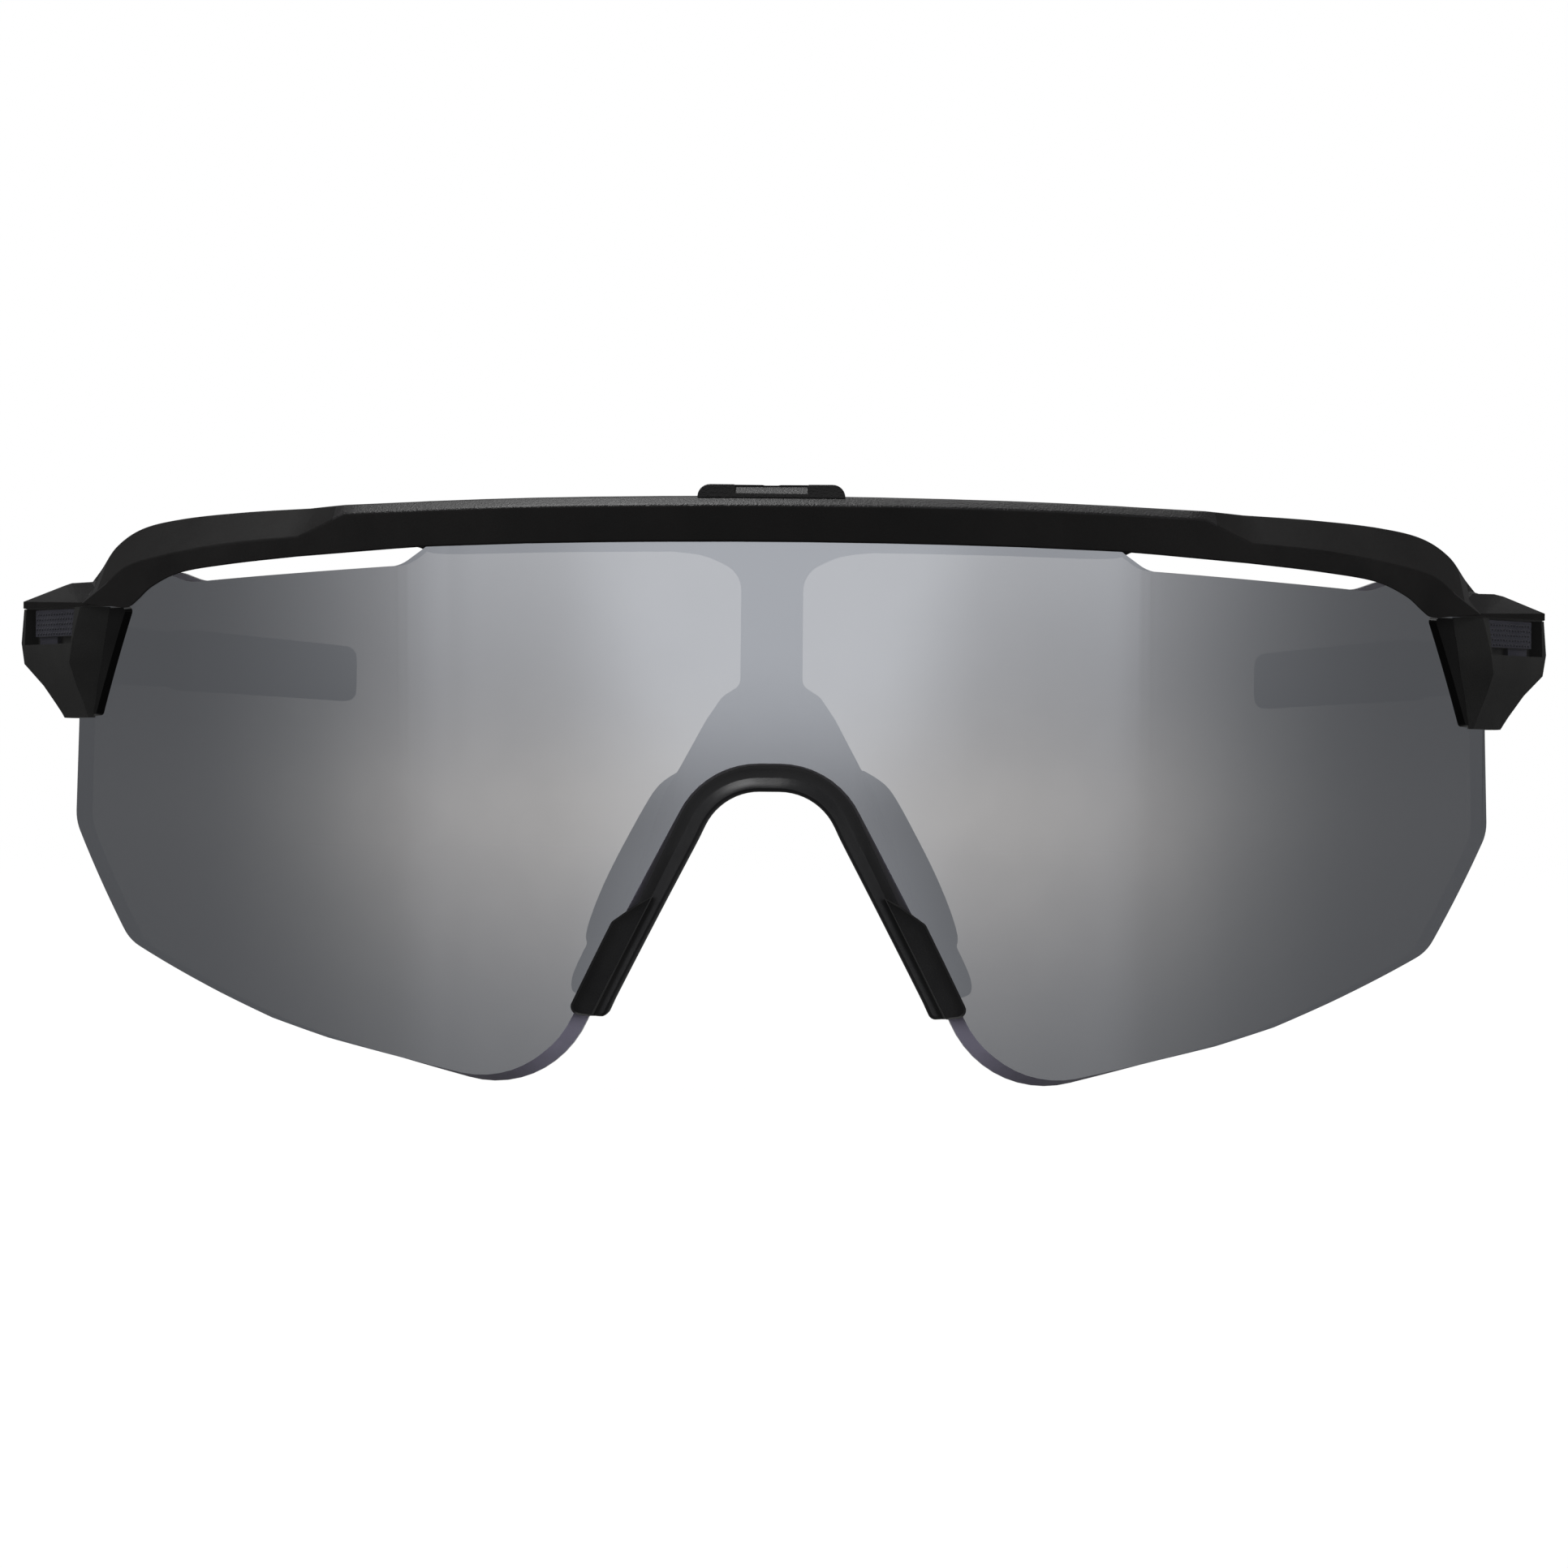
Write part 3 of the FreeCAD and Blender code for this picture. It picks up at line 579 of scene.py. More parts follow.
def bar_station(bottom, crease, top, top_depth, lip):
    """Section of the bar: bottom, crease and top of its front, top and bottom of its back, and the step
    down to the lip behind the lens. The hidden corners follow the ones in front of them."""
    top_front = behind(*top, BAR_FRONT, top_depth)
    top_rear = behind(top[0], top[1] - 0.25, BAR_FRONT, BAR_REAR)
    hidden = behind(*bottom, BAR_FRONT, BAR_REAR)
    rear_low = hidden[1] + 0.12
    if lip:
        rear_low = min(lip, rear_low)
    step = behind(*bottom, BAR_FRONT, LENS_BACK - 0.1)
    step_low = step[1] + 0.1
    return [(*bottom, BAR_FRONT), (*crease, BAR_FRONT), top_front, top_rear, (hidden[0], rear_low, BAR_REAR),
            (step[0], min(rear_low, step_low), LENS_BACK - 0.2), (step[0], step_low, LENS_BACK)]


def bar_lines():
    """Sections of the bar from the middle to its outer end, as (x, height, depth in front of the lens)."""
    middle = [bar_station((0, 20.8), (0, 24.0), (0, 24.8), 2.0, 20.3),
              bar_station((18, 20.7), (18, 23.93), (18, 24.7), 2.0, 20.25),
              bar_station((29, 20.5), (29, 23.75), (29, 24.52), 2.0, 20.2),
              bar_station((32, 20.4), (32, 23.67), (32, 24.44), 2.0, None),
              bar_station((38.2, 20.05), (38.2, 23.55), (38.2, 24.32), 2.0, None)]
    outer = [bar_station((42.6, 19.8), (42.6, 21.6), (41.6, 24.1), -1.0, None),
             bar_station((49.2, 19.3), (49.6, 21.2), (48.3, 23.95), -1.4, None),
             bar_station((54.2, 18.7), (56.0, 20.4), (54.6, 23.6), -1.6, None),
             bar_station((57.2, 17.55), (60.2, 19.5), (58.9, 22.9), -1.6, None),
             bar_station((58.8, 16.35), (62.6, 17.9), (61.7, 21.4), -1.6, None),
             bar_station((59.6, 15.8), (64.2, 16.9), (63.4, 19.3), -1.6, None),
             bar_station((60.4, 15.7), (65.2, 16.3), (64.9, 17.7), -1.6, None)]
    parts = 12
    lines = []
    for corner in range(len(middle[0])):
        near = Vector(middle[1][corner])
        near.x = -near.x
        inner_run = flow([near] + [Vector(s[corner]) for s in middle], parts)[parts:]
        outer_run = flow([Vector(s[corner]) for s in outer], parts)
        step = [inner_run[-1].lerp(outer_run[0], part / 4) for part in range(1, 4)]
        lines.append(inner_run + step + outer_run)
    return [list(points) for points in zip(*lines)]


def bar_loops(stations):
    """The bar's sections bent round the lens's axis, with their corners rounded."""
    radii = [0.25, 0.25, 0.3, 0.8, 0.3, 0.1, 0.1]
    loops = []
    for station in stations:
        loop = [bend(arc(x, depth), depth, height) for x, height, depth in station]
        loops.append(soften(loop, radii))
    return loops


# Plan of the bar's end, from its inner front corner outwards and round.
END_PLAN = [(62.2, 25.8), (65.6, 29.7), (72.3, 37.9), (72.4, 41.5), (72.0, 45.0), (71.2, 47.2), (68.6, 48.4),
            (66.2, 47.4), (65.2, 45.0), (65.2, 43.8), (66.2, 42.3), (62.5, 41.0), (61.0, 34.0)]


def end_cap():
    """The bar's end: a low cap over the clamp whose top rises from its front and outer edges."""
    top_plan = [(64.6, 31.2), (67.0, 34.2), (68.6, 39.4), (68.6, 41.8), (68.8, 44.6), (68.7, 46.0),
                (68.0, 47.0), (66.9, 46.4), (66.2, 45.0), (66.2, 43.8), (66.8, 42.8), (63.4, 40.4),
                (62.2, 35.4)]
    rim = [16.35, 16.4, 16.75, 16.8, 16.8, 16.8, 16.9, 17.0, 17.1, 17.1, 17.2, 17.6, 17.4]
    top = [18.3, 18.4, 18.4, 18.4, 18.4, 18.4, 18.3, 18.3, 18.4, 18.5, 18.6, 19.0, 19.1]
    loops = [[Vector((x, y, 16.1)) for x, y in END_PLAN],
             [Vector((x, y, z)) for (x, y), z in zip(END_PLAN, rim)],
             [Vector((x, y, z)) for (x, y), z in zip(top_plan, top)]]
    return loft(loops)


def build_bar():
    """Brow bar with its end caps, and the two lugs that hold the latch's pin."""
    right = bar_loops(bar_lines())
    left = [[Vector((-p.x, p.y, p.z)) for p in loop] for loop in reversed(right[1:])]
    skin = loft(left + right)
    for side in (1, -1):
        cap = end_cap() if side == 1 else mirror(end_cap())
        skin = combine(skin, cap, "UNION")
    lug_outline = [(3.4, 21.4), (LATCH_Y, 21.6), (LATCH_Y + 1.1, LATCH_Z - 1.1), (LATCH_Y + 1.5, LATCH_Z),
                   (LATCH_Y + 1.05, LATCH_Z + 1.05), (LATCH_Y, LATCH_Z + 1.5), (3.4, 24.5)]
    for start, end in ((5.0, 8.4), (-8.4, -5.0)):
        skin = combine(skin, prism(lug_outline, start, end, axis="x"), "UNION")

    def paint(centre, normal):
        on_chamfer = abs(centre.x) < 39.0 and normal.y < -0.3 and normal.z > 0.3
        on_cap = abs(centre.x) > 62.0 and centre.z < 18.7 and normal.z > 0.3
        return 1 if on_chamfer or on_cap else 0

    obj = to_object("bar", skin, [frame_plastic, grain_plastic], paint, sharp=26)
    even_normals(obj)
    return piece(obj, "front", "frame_black", "brow_frame")


def clamp_rings():
    """Plan sections of the clamp from its top to its foot."""
    rear = [(72.2, 45.0), (71.2, 47.2), (68.6, 48.4), (66.2, 47.4), (65.2, 45.0), (65.2, 43.8), (66.2, 42.3),
            (63.4, 41.0), (62.9, 35.5)]
    heights = [
        (16.0, [(62.5, 29.2), (65.4, 29.6), (72.2, 37.8), (72.4, 41.5)], rear),
        (12.8, [(63.1, 29.7), (66.2, 30.0), (72.45, 37.9), (72.45, 41.6)], rear),
        (10.8, [(63.4, 30.1), (66.5, 30.4), (72.1, 37.6), (72.2, 41.7)], rear),
        (8.7, [(63.9, 30.7), (65.9, 30.9), (69.9, 35.8), (70.6, 41.0)],
         [(71.0, 44.4), (70.4, 46.6), (68.4, 47.8), (66.4, 47.0), (65.6, 45.0), (65.6, 43.8), (66.2, 42.3),
          (64.4, 40.6), (64.0, 36.0)]),
        (6.9, [(64.15, 31.0), (65.2, 31.2), (68.5, 35.0), (69.0, 38.4)],
         [(69.0, 40.4), (68.7, 41.4), (68.0, 41.9), (67.2, 41.9), (66.6, 41.8), (66.2, 41.6), (65.8, 41.2),
          (65.0, 40.2), (64.4, 36.0)]),
        (5.7, [(64.35, 31.3), (64.85, 31.5), (67.6, 34.4), (68.0, 36.4)],
         [(68.0, 38.0), (67.8, 38.8), (67.3, 39.2), (66.9, 39.3), (66.6, 39.3), (66.3, 39.2), (66.0, 39.0),
          (65.4, 38.6), (64.7, 36.0)]),
    ]
    return [[Vector((x, y, z)) for x, y in outer + inner] for z, outer, inner in reversed(heights)]


SLOT_LOW = 10.5             # the arm's knuckle turns in this slot of the clamp
SLOT_HIGH = 14.5

# Plan of the clamp's outer facet at its top.
FACET_START = Vector((65.4, 29.6, 0))
FACET_END = Vector((72.2, 37.8, 0))


def facet_frame():
    """Place on the clamp's outer facet: local x runs out along it, y into the clamp, z up."""
    along = (FACET_END - FACET_START).normalized()
    up = Vector((0, 0, 1))
    inward = up.cross(along)
    return Matrix((along, inward, up)).transposed().to_4x4()


def on_facet(bm, along, inward, height):
    """Move a skin built round the origin to the clamp's outer facet."""
    place = facet_frame()
    place.translation = FACET_START
    for vert in bm.verts:
        vert.co = place @ (vert.co + Vector((along, inward, height)))
    return bm


def box_skin(low, high):
    """Upright box between two opposite corners."""
    outline = [(low[0], low[1]), (high[0], low[1]), (high[0], high[1]), (low[0], high[1])]
    return prism(outline, low[2], high[2])


def clamp_skin():
    """Clamp with room for the arm's knuckle, a window in its facet, and pockets for nut and screw."""
    skin = loft(clamp_rings())
    slot = box_skin((60, HINGE.y - 2.3, SLOT_LOW), (80, 55, SLOT_HIGH))
    skin = combine(skin, slot, "DIFFERENCE")
    window = on_facet(box_skin((1.0, -2.0, 0), (10.2, 1.3, 4)), 0, 0, 12.6)
    skin = combine(skin, window, "DIFFERENCE")
    nut_room = prism(circle(HINGE.xy, 1.8), 0, 10.0)
    skin = combine(skin, nut_room, "DIFFERENCE")
    screw_room = prism(circle((65.0, 39.4), 1.3), 0, 10.0)
    return combine(skin, screw_room, "DIFFERENCE")


def build_clamps():
    for name, side in SIDES:
        skin = clamp_skin() if side == 1 else mirror(clamp_skin())
        obj = to_object(f"{name}_clamp", skin, [clamp_plastic])
        round_edges(obj, 0.22, 3, 20)
        piece(obj, "front", "clamp_black", f"{name}_end_clamp")


def vent_skin():
    """Insert in the clamp's window: a plate with rows of raised dots, and a ledge over the slot below it."""
    plate = on_facet(box_skin((1.05, 0.3, 0), (8.9, 1.2, 2.5)), 0, 0, 13.35)
    skins = [plate, on_facet(box_skin((5.6, 0.8, 0), (8.9, 1.2, 0.7)), 0, 0, 12.65)]
    dot_radius = 0.14
    for column in range(15):
        for tier in range(5):
            shift = 0.12 if tier % 2 else -0.12
            rings = [[Vector((x, -depth, z)) for x, z in circle((0, 0), dot_radius * share, 8)]
                     for share, depth in ((1.0, 0.0), (0.9, 0.06), (0.5, 0.1))]
            skins.append(on_facet(loft(rings), 1.5 + 0.5 * column + shift, 0.31, 13.6 + 0.46 * tier))
    return joined(*skins)


def build_vents():
    for name, side in SIDES:
        skin = vent_skin() if side == 1 else mirror(vent_skin())
        obj = to_object(f"{name}_vent", skin, [mesh_plastic])
        piece(obj, "front", "mesh_grey", f"{name}_vent_mesh")


def build_gaskets():
    strip = [(60.0, 16.0, 0.5), (63.2, 16.0, 0.2), (64.8, 5.8, 0.2), (63.35, 5.9, 0.4)]
    for name, side in SIDES:
        outline = [(side * x, z) for x, z in rounded(strip)]
        bm = bent_plate(outline, 0.02, 0.75, inset=0.12, step=1.0)
        obj = to_object(f"{name}_gasket", bm, [gasket_plastic])
        round_edges(obj, 0.25, 3, 40)
        piece(obj, "front", "gasket_black", f"{name}_lens_gasket")


def arch_loops():
    """Section of the rim swept along the nose opening: a flat beside the lens, then a slope up to a crest
    near the inner edge, the inner wall and the back."""
    section = [(-0.06, 0.1), (-0.35, 0.12), (-0.95, 0.08), (-1.12, 0.2), (-1.5, 0.55), (-1.78, 0.82),
               (-1.98, 0.9), (-2.16, 0.82), (-2.27, 0.55), (-2.3, 0.1), (-2.3, -1.6), (-2.3, -3.2),
               (-2.15, -3.6), (-1.9, -3.75), (-0.5, -3.75), (-0.15, -3.6), (-0.06, -3.2), (-0.06, -1.0)]
    rails = []
    for offset, depth in section:
        curve = rounded(nose_arch(offset, -20.0, NOSE_RADIUS + offset), step=6.0, closed=False)
        rails.append([Vector((x, z, depth)) for x, z in curve])
    flat = list(zip(*rails))
    dense = [flat[0]]
    for before, after in zip(flat, flat[1:]):
        parts = max(1, int((after[0] - before[0]).length / 1.2))
        for part in range(1, parts + 1):
            dense.append([a.lerp(b, part / parts) for a, b in zip(before, after)])
    loops = []
    for points in dense:
        loop = []
        for (x, z, depth), (offset, _) in zip(points, section):
            narrower = 0.7 * min(1.0, -offset / 2.0) * min(1.0, max(0.0, (-5 - z) / 14))
            x += math.copysign(narrower, x)
            upright_wall = offset < -1.6
            loop.append(bend(arc(x, depth) if upright_wall else arc(x), depth, z))
        loops.append(loop)
    return loops


def shrink_ends(loops, reach):
    """Draw the first and last loops in, so that a swept bar ends with a round edge."""
    def shrunk(loop, share, shift):
        centre = sum(loop, Vector()) / len(loop)
        return [centre + (point - centre) * share + shift for point in loop]

    steps = [(0.62, 1.0), (0.86, 0.72), (0.97, 0.34)]
    first_out = (loops[0][0] - loops[1][0]).normalized() * reach
    last_out = (loops[-1][0] - loops[-2][0]).normalized() * reach
    head = [shrunk(loops[0], share, first_out * shift) for share, shift in steps]
    tail = [shrunk(loops[-1], share, last_out * shift) for share, shift in reversed(steps)]
    return head + loops + tail


def build_bridge():
    """Arch in the lens's nose cut-out with its leg flanges, the bell and strut behind the lens, and the foot
    under the bar."""
    skins = [loft(shrink_ends(arch_loops(), 0.45))]
    for side in (1, -1):
        flange = [(side_x(-9.9, -0.95), -9.9, 0), (side_x(-10.6, 0.0), -10.6, 0.3),
                  (side_x(-12.1, 1.25), -12.1, 0.8), (side_x(-20.15, 1.45), -20.15, 0.7),
                  (side_x(-20.4, -0.6), -20.4, 0.3)]
        outline = [(side * x, z) for x, z in rounded(flange)]
        skins.append(bent_plate(outline, 0.02, 0.3, inset=0.12, edge=0.75))
    bell = [(10.5, 20.4, 0), (6.2, 20.0, 8), (2.85, 18.4, 2.5), (2.85, 8.6, 1), (4.5, 7.6, 2), (5.9, 5.6, 3),
            (8.2, 1.5, 1), (9.6, -0.8, 2), (16.0, -18.2, 1), (14.6, -19.0, 0.5)]
    inner = nose_arch(-0.6, -19.0, 7.0)
    outline = bell + [inner[2], inner[1]] + [(-x, z, r) for x, z, r in reversed(bell)]
    skins.append(bent_plate(rounded(outline), -3.7, LENS_BACK - 0.15, inset=0.15, step=1.2))
    foot = [(-4.9, 19.7, 0.4), (4.9, 19.7, 0.4), (4.9, 21.6, 0.4), (-4.9, 21.6, 0.4)]
    skins.append(prism(rounded(foot), 3.4, 5.5, axis="y"))
    obj = to_object("bridge", joined(*skins), [bridge_plastic], sharp=40)
    even_normals(obj)
    return piece(obj, "front", "bridge_black", "nose_bridge")


def pad_skin():
    """Soft wing that flares back and outwards along the nose, with a notch between its two lobes."""
    outer = [(8.0, 1.4), (10.0, 0.3), (11.0, -0.9), (13.0, -4.6), (15.2, -8.8), (16.9, -13.4), (16.6, -14.4),
             (18.1, -17.4), (17.9, -18.6)]
    inner = [(6.2, -1.6), (6.9, -2.8), (7.6, -4.2), (8.9, -7.0), (10.6, -10.4), (12.4, -14.2), (12.8, -15.0),
             (14.2, -18.0), (14.8, -19.0)]
    # Round the wing's section: share of the way outwards, depth, and swelling outwards.
    section = [(0.0, 5.0, 0.0), (0.1, 4.2, 0.0), (0.45, 4.3, 0.1), (0.85, 9.2, 0.2), (0.99, 13.0, 0.0),
               (0.96, 14.0, 0.0), (0.86, 13.7, 0.0), (0.62, 11.2, -0.2), (0.25, 8.4, -0.3), (0.02, 6.2, -0.1)]
    loops = []
    for out_point, in_point in zip(outer, inner):
        far = Vector(out_point)
        near = Vector(in_point)
        across = (far - near).normalized()
        loop = []
        for share, depth, swell in section:
            point = near.lerp(far, share) + across * swell
            loop.append(Vector((point.x, depth, point.y)))
        loops.append(loop)
    return loft(loops)


def build_pads():
    for name, side in SIDES:
        skin = pad_skin() if side == 1 else mirror(pad_skin())
        obj = to_object(f"{name}_pad", skin, [pad_rubber], sharp=180)
        round_edges(obj, 0.5, 3, 40)
        smooth = obj.modifiers.new("smooth", "SUBSURF")
        smooth.levels = smooth.render_levels = 2
        piece(obj, "front", "pad_rubber", f"{name}_nose_pad")


ARM_START = 46.9


def arm_path(y):
    """Centre line of the arm: (x, thickness, height, middle height) at a depth."""
    knots = [(ARM_START, 68.9, 5.0, 6.4, 12.6), (56.0, 69.5, 4.4, 6.4, 12.6), (72.0, 70.1, 3.9, 6.2, 12.65),
             (90.0, 68.95, 3.6, 6.0, 12.8), (105.0, 67.4, 3.6, 6.0, 13.0),
             (TIP_END, 56.5, 3.6, 6.0, 13.0)]
    for before, after in zip(knots, knots[1:]):
        if y <= after[0]:
            t = (y - before[0]) / (after[0] - before[0])
            return [a + (b - a) * t for a, b in zip(before[1:], after[1:])]
    return list(knots[-1][1:])


def smooth_path(y):
    """The arm's centre line, evened out over 9 mm to either side."""
    near = [arm_path(min(max(y + shift, ARM_START), TIP_END)) for shift in (-9, -6, -3, 0, 3, 6, 9)]
    return [sum(values) / len(near) for values in zip(*near)]


def arm_loop(y, thick, tall, x, z, corner=1.35):
    """Upright section of an arm: flat inside, slightly full outside."""
    half = thick / 2
    rise = tall / 2
    full = half + 0.25
    outline = [(x - half, z - rise, corner), (x + half, z - rise * 0.92, corner * 0.7),
               (x + full, z - rise * 0.2, 3), (x + full, z + rise * 0.3, 3),
               (x + half, z + rise, corner * 0.7), (x - half, z + rise, corner)]
    return [Vector((px, y, pz)) for px, pz in rounded_fixed(outline)]


def rounded_fixed(corners, parts=4):
    """Like rounded(), with the same number of points at every corner, so that sections match."""
    loop = [Vector((x, y, 0)) for x, y, _ in corners]
    return [(p.x, p.y) for p in soften(loop, [radius for _, _, radius in corners], parts)]


def arm_skin():
    """Arm with a round hollow for the clamp's ears, and the knuckle that turns on the hinge screw."""
    loops = []
    y = ARM_START
    while y < ARM_END - 0.4:
        x, thick, tall, z = smooth_path(y)
        loops.append(arm_loop(y, thick, tall, x, z))
        y += 1.8
    x, thick, tall, z = smooth_path(ARM_END - 0.35)
    loops.append(arm_loop(ARM_END - 0.35, thick, tall, x, z))
    loops.append(arm_loop(ARM_END - 0.05, thick - 0.5, tall - 0.5, x, z, 1.1))
    skin = loft(loops)
    hollow = prism(circle(HINGE.xy, 3.7, 48), 0, 30)
    skin = combine(skin, hollow, "DIFFERENCE")
    knuckle = prism(circle(HINGE.xy, 3.1, 48), SLOT_LOW + 0.15, SLOT_HIGH - 0.15)
    neck_plan = [(66.6, 45.0), (71.0, 45.0), (71.2, 51.0), (66.6, 51.0)]
    neck = prism(neck_plan, SLOT_LOW + 0.2, SLOT_HIGH - 0.2)
    knuckle = combine(knuckle, neck, "UNION")
    return combine(skin, knuckle, "UNION")


def build_arms():
    for name, side in SIDES:
        skin = arm_skin() if side == 1 else mirror(arm_skin())
        obj = to_object(f"{name}_arm", skin, [arm_plastic], sharp=35)
        even_normals(obj)
        piece(obj, f"{name}_temple", "arm_black", f"{name}_temple_arm")


def tip_skin():
    """Rubber sleeve: a collar over the arm, fine grip ribs on both sides, and a rounded end."""
    loops = []
    length = TIP_END - ARM_END
    steps = 190
    collar = 0.5
    round_end = 2.3
    plain = 9
    rib_pitch = 2.4
    for index in range(steps + 1):
        t = index / steps
        y = ARM_END + length * t
        x, _, _, z = smooth_path(y)
        thick = 4.55
        tall = 6.85
        from_start = y - ARM_END
        to_end = TIP_END - y
        if from_start < collar:
            thick -= 0.6 * (1 - from_start / collar) ** 2
            tall -= 0.6 * (1 - from_start / collar) ** 2
        if to_end < round_end:
            share = math.sqrt(max(0.0, 1 - (1 - to_end / round_end) ** 2))
            thick *= 0.16 + 0.84 * share
            tall -= 4.2 * (1 - share)
        if plain < from_start < length - plain:
            groove = 0.5 - 0.5 * math.cos(2 * math.pi * from_start / rib_pitch)
            fade = min(1.0, (from_start - plain) / 3, (length - plain - from_start) / 3)
            thick -= 0.42 * groove ** 3 * fade
        loops.append(arm_loop(y, thick, tall, x - 0.12, z, 1.6))
    return loft(loops)


def build_tips():
    for name, side in SIDES:
        skin = tip_skin() if side == 1 else mirror(tip_skin())
        obj = to_object(f"{name}_tip", skin, [tip_rubber], sharp=50)
        piece(obj, f"{name}_temple", "tip_rubber", f"{name}_temple_tip")


def build_latch():
    """Release lever: a tab with round ends, a grained finger facet in front and a notch in its crest."""
    outline = rounded([(-6.4, 24.6, 0.1), (-6.3, 25.82, 1.1), (-0.8, 25.80, 0.5), (-0.1, 25.68, 0.3),
                       (0.1, 25.68, 0.3), (0.8, 25.80, 0.5), (6.3, 25.82, 1.1), (6.4, 24.6, 0.1)], step=12)
    skin = prism(outline, -1.9, LATCH_Y, axis="y")
    facet = prism([(-2.6, 24.4), (-1.1, 25.66), (-2.6, 26.5)], -3.15, 3.15, axis="x")
    skin = combine(skin, facet, "DIFFERENCE")
    barrel_start = -4.8
    barrel_end = 1.4
    barrel = prism(circle((LATCH_Y, LATCH_Z), 1.4), barrel_start, barrel_end, axis="x")
    web = box_skin((barrel_start, LATCH_Y - 1.2, LATCH_Z), (barrel_end, LATCH_Y, 25.2))
    skin = combine(skin, combine(barrel, web, "UNION"), "UNION")
    bore = prism(circle((LATCH_Y, LATCH_Z), 0.55, 20), -10, 10, axis="x")
    skin = combine(skin, bore, "DIFFERENCE")

    def paint(centre, normal):
        return 1 if abs(centre.x) < 3.1 and normal.y < -0.4 and centre.y < -0.8 else 0

    obj = to_object("latch", skin, [frame_plastic, grain_plastic], paint)
    round_edges(obj, 0.16, 3, 30)
    return piece(obj, "latch", "frame_black", "latch_lever")


def build_spring():
    """Torsion spring round the latch pin, with one leg that points down."""
    turns = 6
    per_turn = 20
    coil_radius = 0.88
    points = []
    for index in range(turns * per_turn + 1):
        turn = 2 * math.pi * index / per_turn
        x = 1.95 + 2.5 * index / (turns * per_turn)
        back = coil_radius * math.cos(turn)
        up = coil_radius * math.sin(turn)
        points.append(Vector((x, LATCH_Y + back, LATCH_Z + up)))
    points.append(points[-1] + Vector((0, 0, -1.2)))
    obj = to_object("latch_coil", tube(points, 0.17, 8), [steel], sharp=60)
    return piece(obj, "front", "steel", "latch_spring")


def keep_cad():
    """CAD pieces whose shape is already right get their own finish."""
    finishes = {"latch_pin": steel, "bridge_screws": steel}
    for name, _ in SIDES:
        finishes[f"{name}_hinge_screw"] = steel
        finishes[f"{name}_hinge_nut"] = brass
        finishes[f"{name}_clamp_screw"] = steel
        finishes[f"{name}_tip_core"] = steel
    for node, material in finishes.items():
        mesh = frame["nodes"][node].data
        mesh.materials.clear()
        mesh.materials.append(material)


# ---------------------------------------------------------------- stage, light and camera
def build_world():
    """Studio surround: a broad soft front light that fades to the sides, above and below. The camera itself
    sees plain white."""
    world = bpy.data.worlds.new("studio")
    bpy.context.scene.world = world
    world.use_nodes = True
    tree = world.node_tree
    tree.nodes.clear()
    place = tree.nodes.new("ShaderNodeTexCoord")
    split = tree.nodes.new("ShaderNodeSeparateXYZ")
    tree.links.new(place.outputs["Generated"], split.inputs["Vector"])

    x, y, z = (split.outputs[name] for name in "XYZ")
    squares = [maths(tree, "MULTIPLY", part, part) for part in (x, y)]
    level = maths(tree, "SQRT", maths(tree, "ADD", *squares))
    toward = maths(tree, "DIVIDE", maths(tree, "MULTIPLY", y, -1.0), maths(tree, "MAXIMUM", level, 0.001))
    round_about = maths(tree, "MULTIPLY", maths(tree, "ADD", toward, 1.0), 0.5)
    # Light at degrees round from straight ahead, and at degrees above level.
    by_turn = [(99, 0.0), (88, 0.03), (79, 0.07), (68, 0.2), (59, 0.37), (50, 0.6), (42, 1.1), (33.5, 1.42),
               (25, 1.36), (0, 1.0)]
    patch = add_ramp(tree, round_about, [(0.5 + 0.5 * math.cos(math.radians(turn)), light)
                                         for turn, light in by_turn])
    up_down = maths(tree, "MULTIPLY", maths(tree, "ADD", z, 1.0), 0.5)
    by_rise = [(-23.6, 0.0), (-13.9, 0.05), (-9.2, 0.09), (-6, 0.14), (-3, 0.26), (0, 0.68), (2.3, 1.04),
               (4.6, 1.2), (11.5, 1.2), (17.5, 0.95), (30, 0.35), (90, 0.15)]
    height = add_ramp(tree, up_down, [(0.5 + 0.5 * math.sin(math.radians(rise)), light)
                                      for rise, light in by_rise])
    brightest = 0.47
    dimmest = 0.09
    glow = maths(tree, "MULTIPLY", maths(tree, "MULTIPLY", patch, height), brightest)
    surround = maths(tree, "ADD", glow, dimmest)
    back = tree.nodes.new("ShaderNodeBackground")
    tree.links.new(surround, back.inputs["Color"])
    white = tree.nodes.new("ShaderNodeBackground")
    white.inputs["Color"].default_value = (1, 1, 1, 1)
    path = tree.nodes.new("ShaderNodeLightPath")
    mix = tree.nodes.new("ShaderNodeMixShader")
    out = tree.nodes.new("ShaderNodeOutputWorld")
    tree.links.new(path.outputs["Is Camera Ray"], mix.inputs["Fac"])
    tree.links.new(back.outputs["Background"], mix.inputs[1])
    tree.links.new(white.outputs["Background"], mix.inputs[2])
    tree.links.new(mix.outputs["Shader"], out.inputs["Surface"])


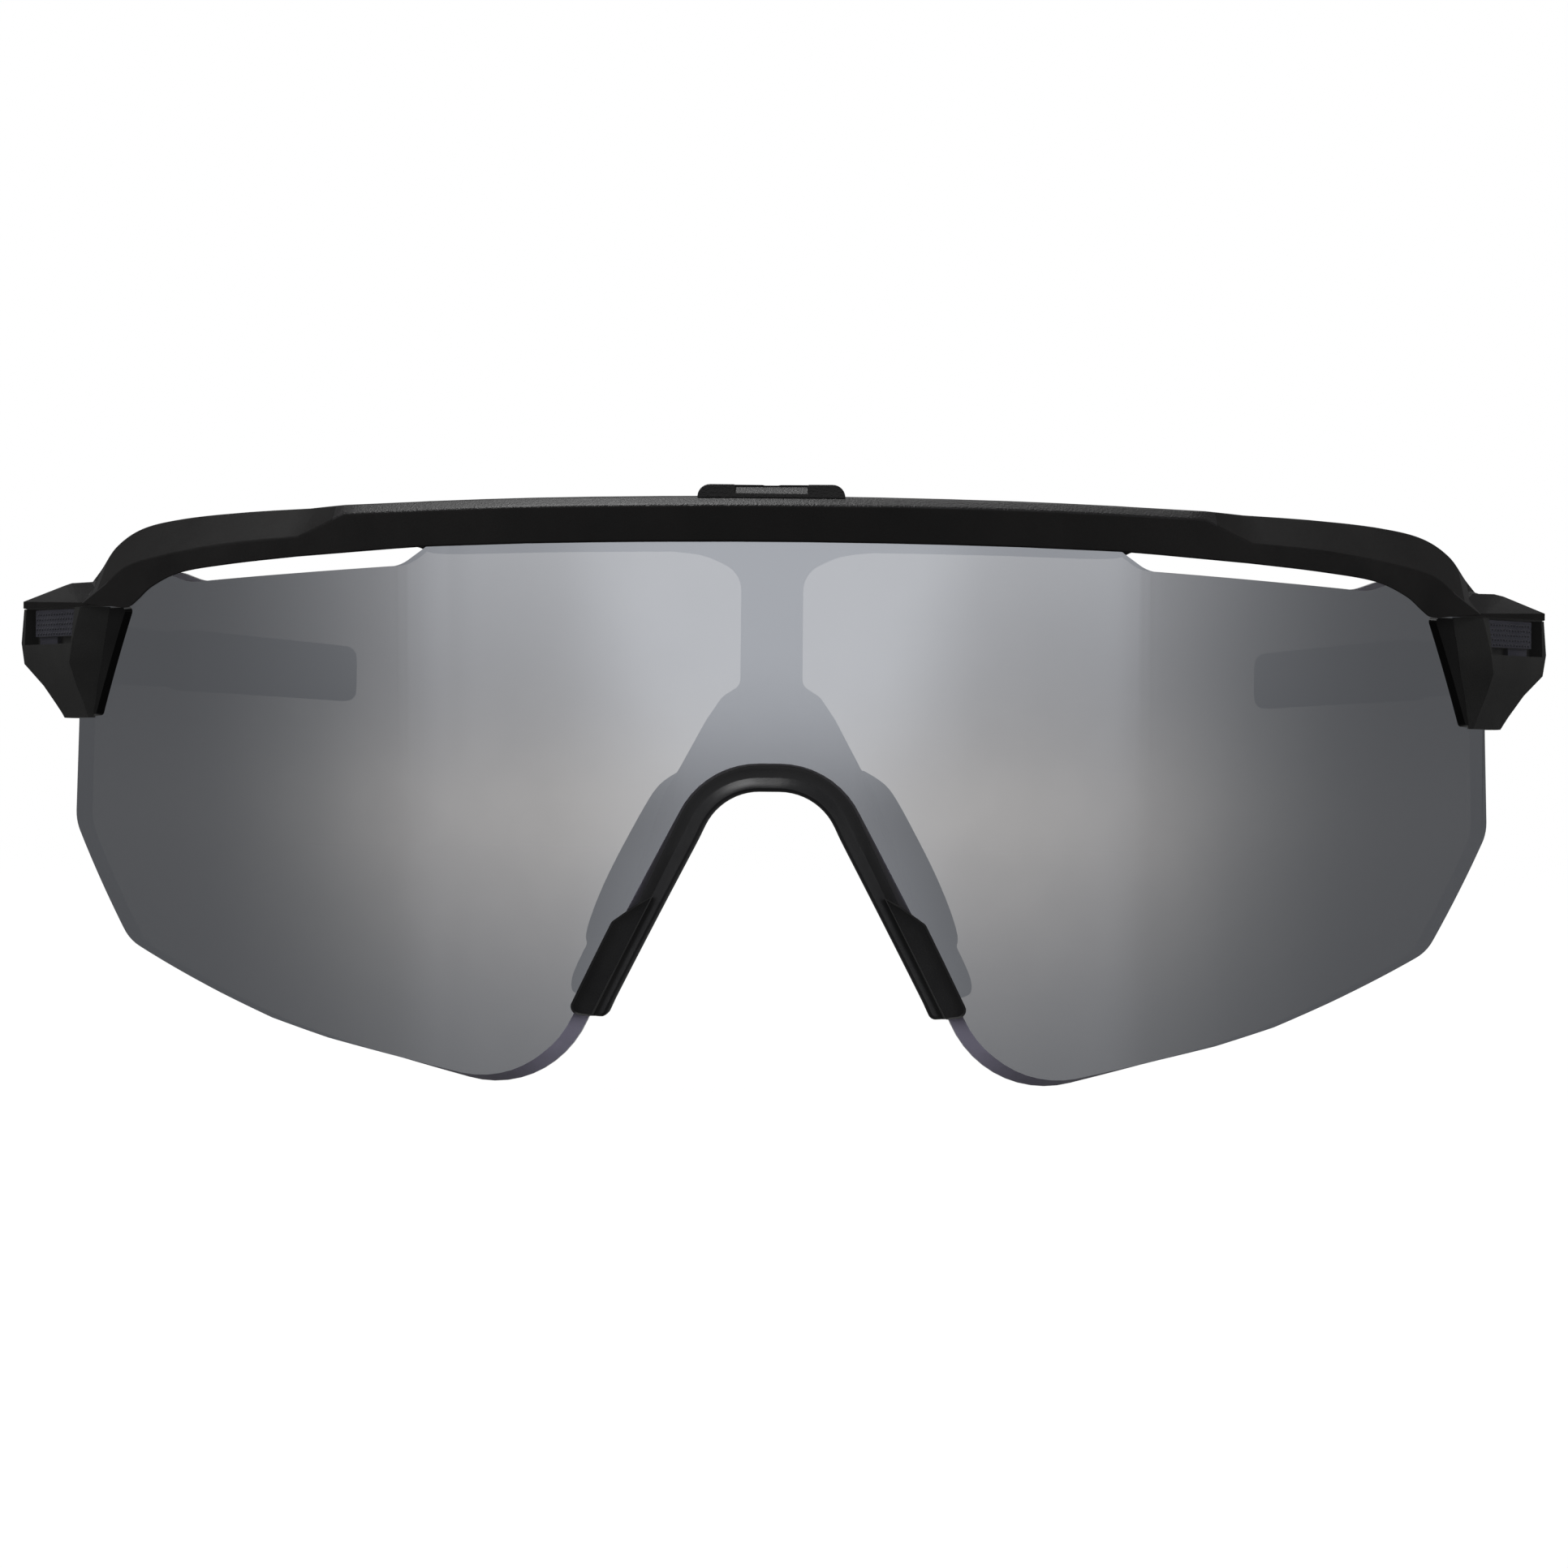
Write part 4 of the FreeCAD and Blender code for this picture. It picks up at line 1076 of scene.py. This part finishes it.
def build_floor():
    """Plain pale floor just under the object."""
    bm = bmesh.new()
    half = 1500.0
    gap = 0.5
    corners = [bm.verts.new((x * half, y * half, 0)) for x, y in ((-1, -1), (1, -1), (1, 1), (-1, 1))]
    bm.faces.new(corners)
    mesh = bpy.data.meshes.new("floor")
    bm.to_mesh(mesh)
    bm.free()
    mesh.transform(Matrix.Scale(1 / MM, 4))
    obj = bpy.data.objects.new("floor", mesh)
    bpy.context.scene.collection.objects.link(obj)
    obj.location.z = FLOOR - gap / MM
    material, _, shader = new_material("floor_pale", (0.02, 0.02, 0.02), 0.9, specular=0.0)
    shader.inputs["Emission Color"].default_value = (1, 1, 1, 1)
    shader.inputs["Emission Strength"].default_value = 0.995
    mesh.materials.append(material)
    obj.visible_glossy = False
    obj.visible_diffuse = False


def add_light(name, place, target, size, power):
    """Rectangular light that faces a target."""
    data = bpy.data.lights.new(name, "AREA")
    data.shape = "RECTANGLE"
    data.size, data.size_y = size
    data.energy = power
    obj = bpy.data.objects.new(name, data)
    bpy.context.scene.collection.objects.link(obj)
    obj.location = place
    obj.rotation_euler = (Vector(target) - Vector(place)).to_track_quat("-Z", "Y").to_euler()
    return obj


def build_lights():
    add_light("front_top_light", (-0.22, -0.08, 0.74), (0, 0.02, 0), (0.4, 0.45), 3.4)
    add_light("back_top_light", (-0.05, 0.35, 0.7), (0, 0.02, 0), (0.7, 0.5), 1.2)
    for _, side in SIDES:
        place = (side * 0.6, -0.15, 0.1)
        side_light = add_light("side_light", place, (side * 0.05, 0.03, 0), (0.4, 0.6), 4.0)
        side_light.visible_glossy = False


def build_camera():
    """Level camera in front, a little to the wearer's left, at a macro lens's distance."""
    data = bpy.data.cameras.new("camera")
    data.sensor_width = 36.0
    data.lens = 103.4
    camera = bpy.data.objects.new("camera", data)
    bpy.context.scene.collection.objects.link(camera)
    target_depth = 36.0
    target = at(0.45, target_depth, 0)
    turn = math.radians(1.3)
    distance = (VIEW_DISTANCE + target_depth) / MM
    camera.location = target + Vector((math.sin(turn), -math.cos(turn), 0)) * distance
    roll = Matrix.Rotation(math.radians(0.5), 4, "Z")
    facing = (target - camera.location).to_track_quat("-Z", "Y").to_matrix().to_4x4()
    camera.rotation_euler = (facing @ roll).to_euler()
    bpy.context.scene.camera = camera


scene = bpy.context.scene
scene.view_settings.view_transform = "Standard"
build_camera()
build_world()
build_floor()
build_lights()
build_lens()
build_bar()
build_clamps()
build_vents()
build_gaskets()
build_bridge()
build_pads()
build_arms()
build_tips()
build_latch()
build_spring()
keep_cad()
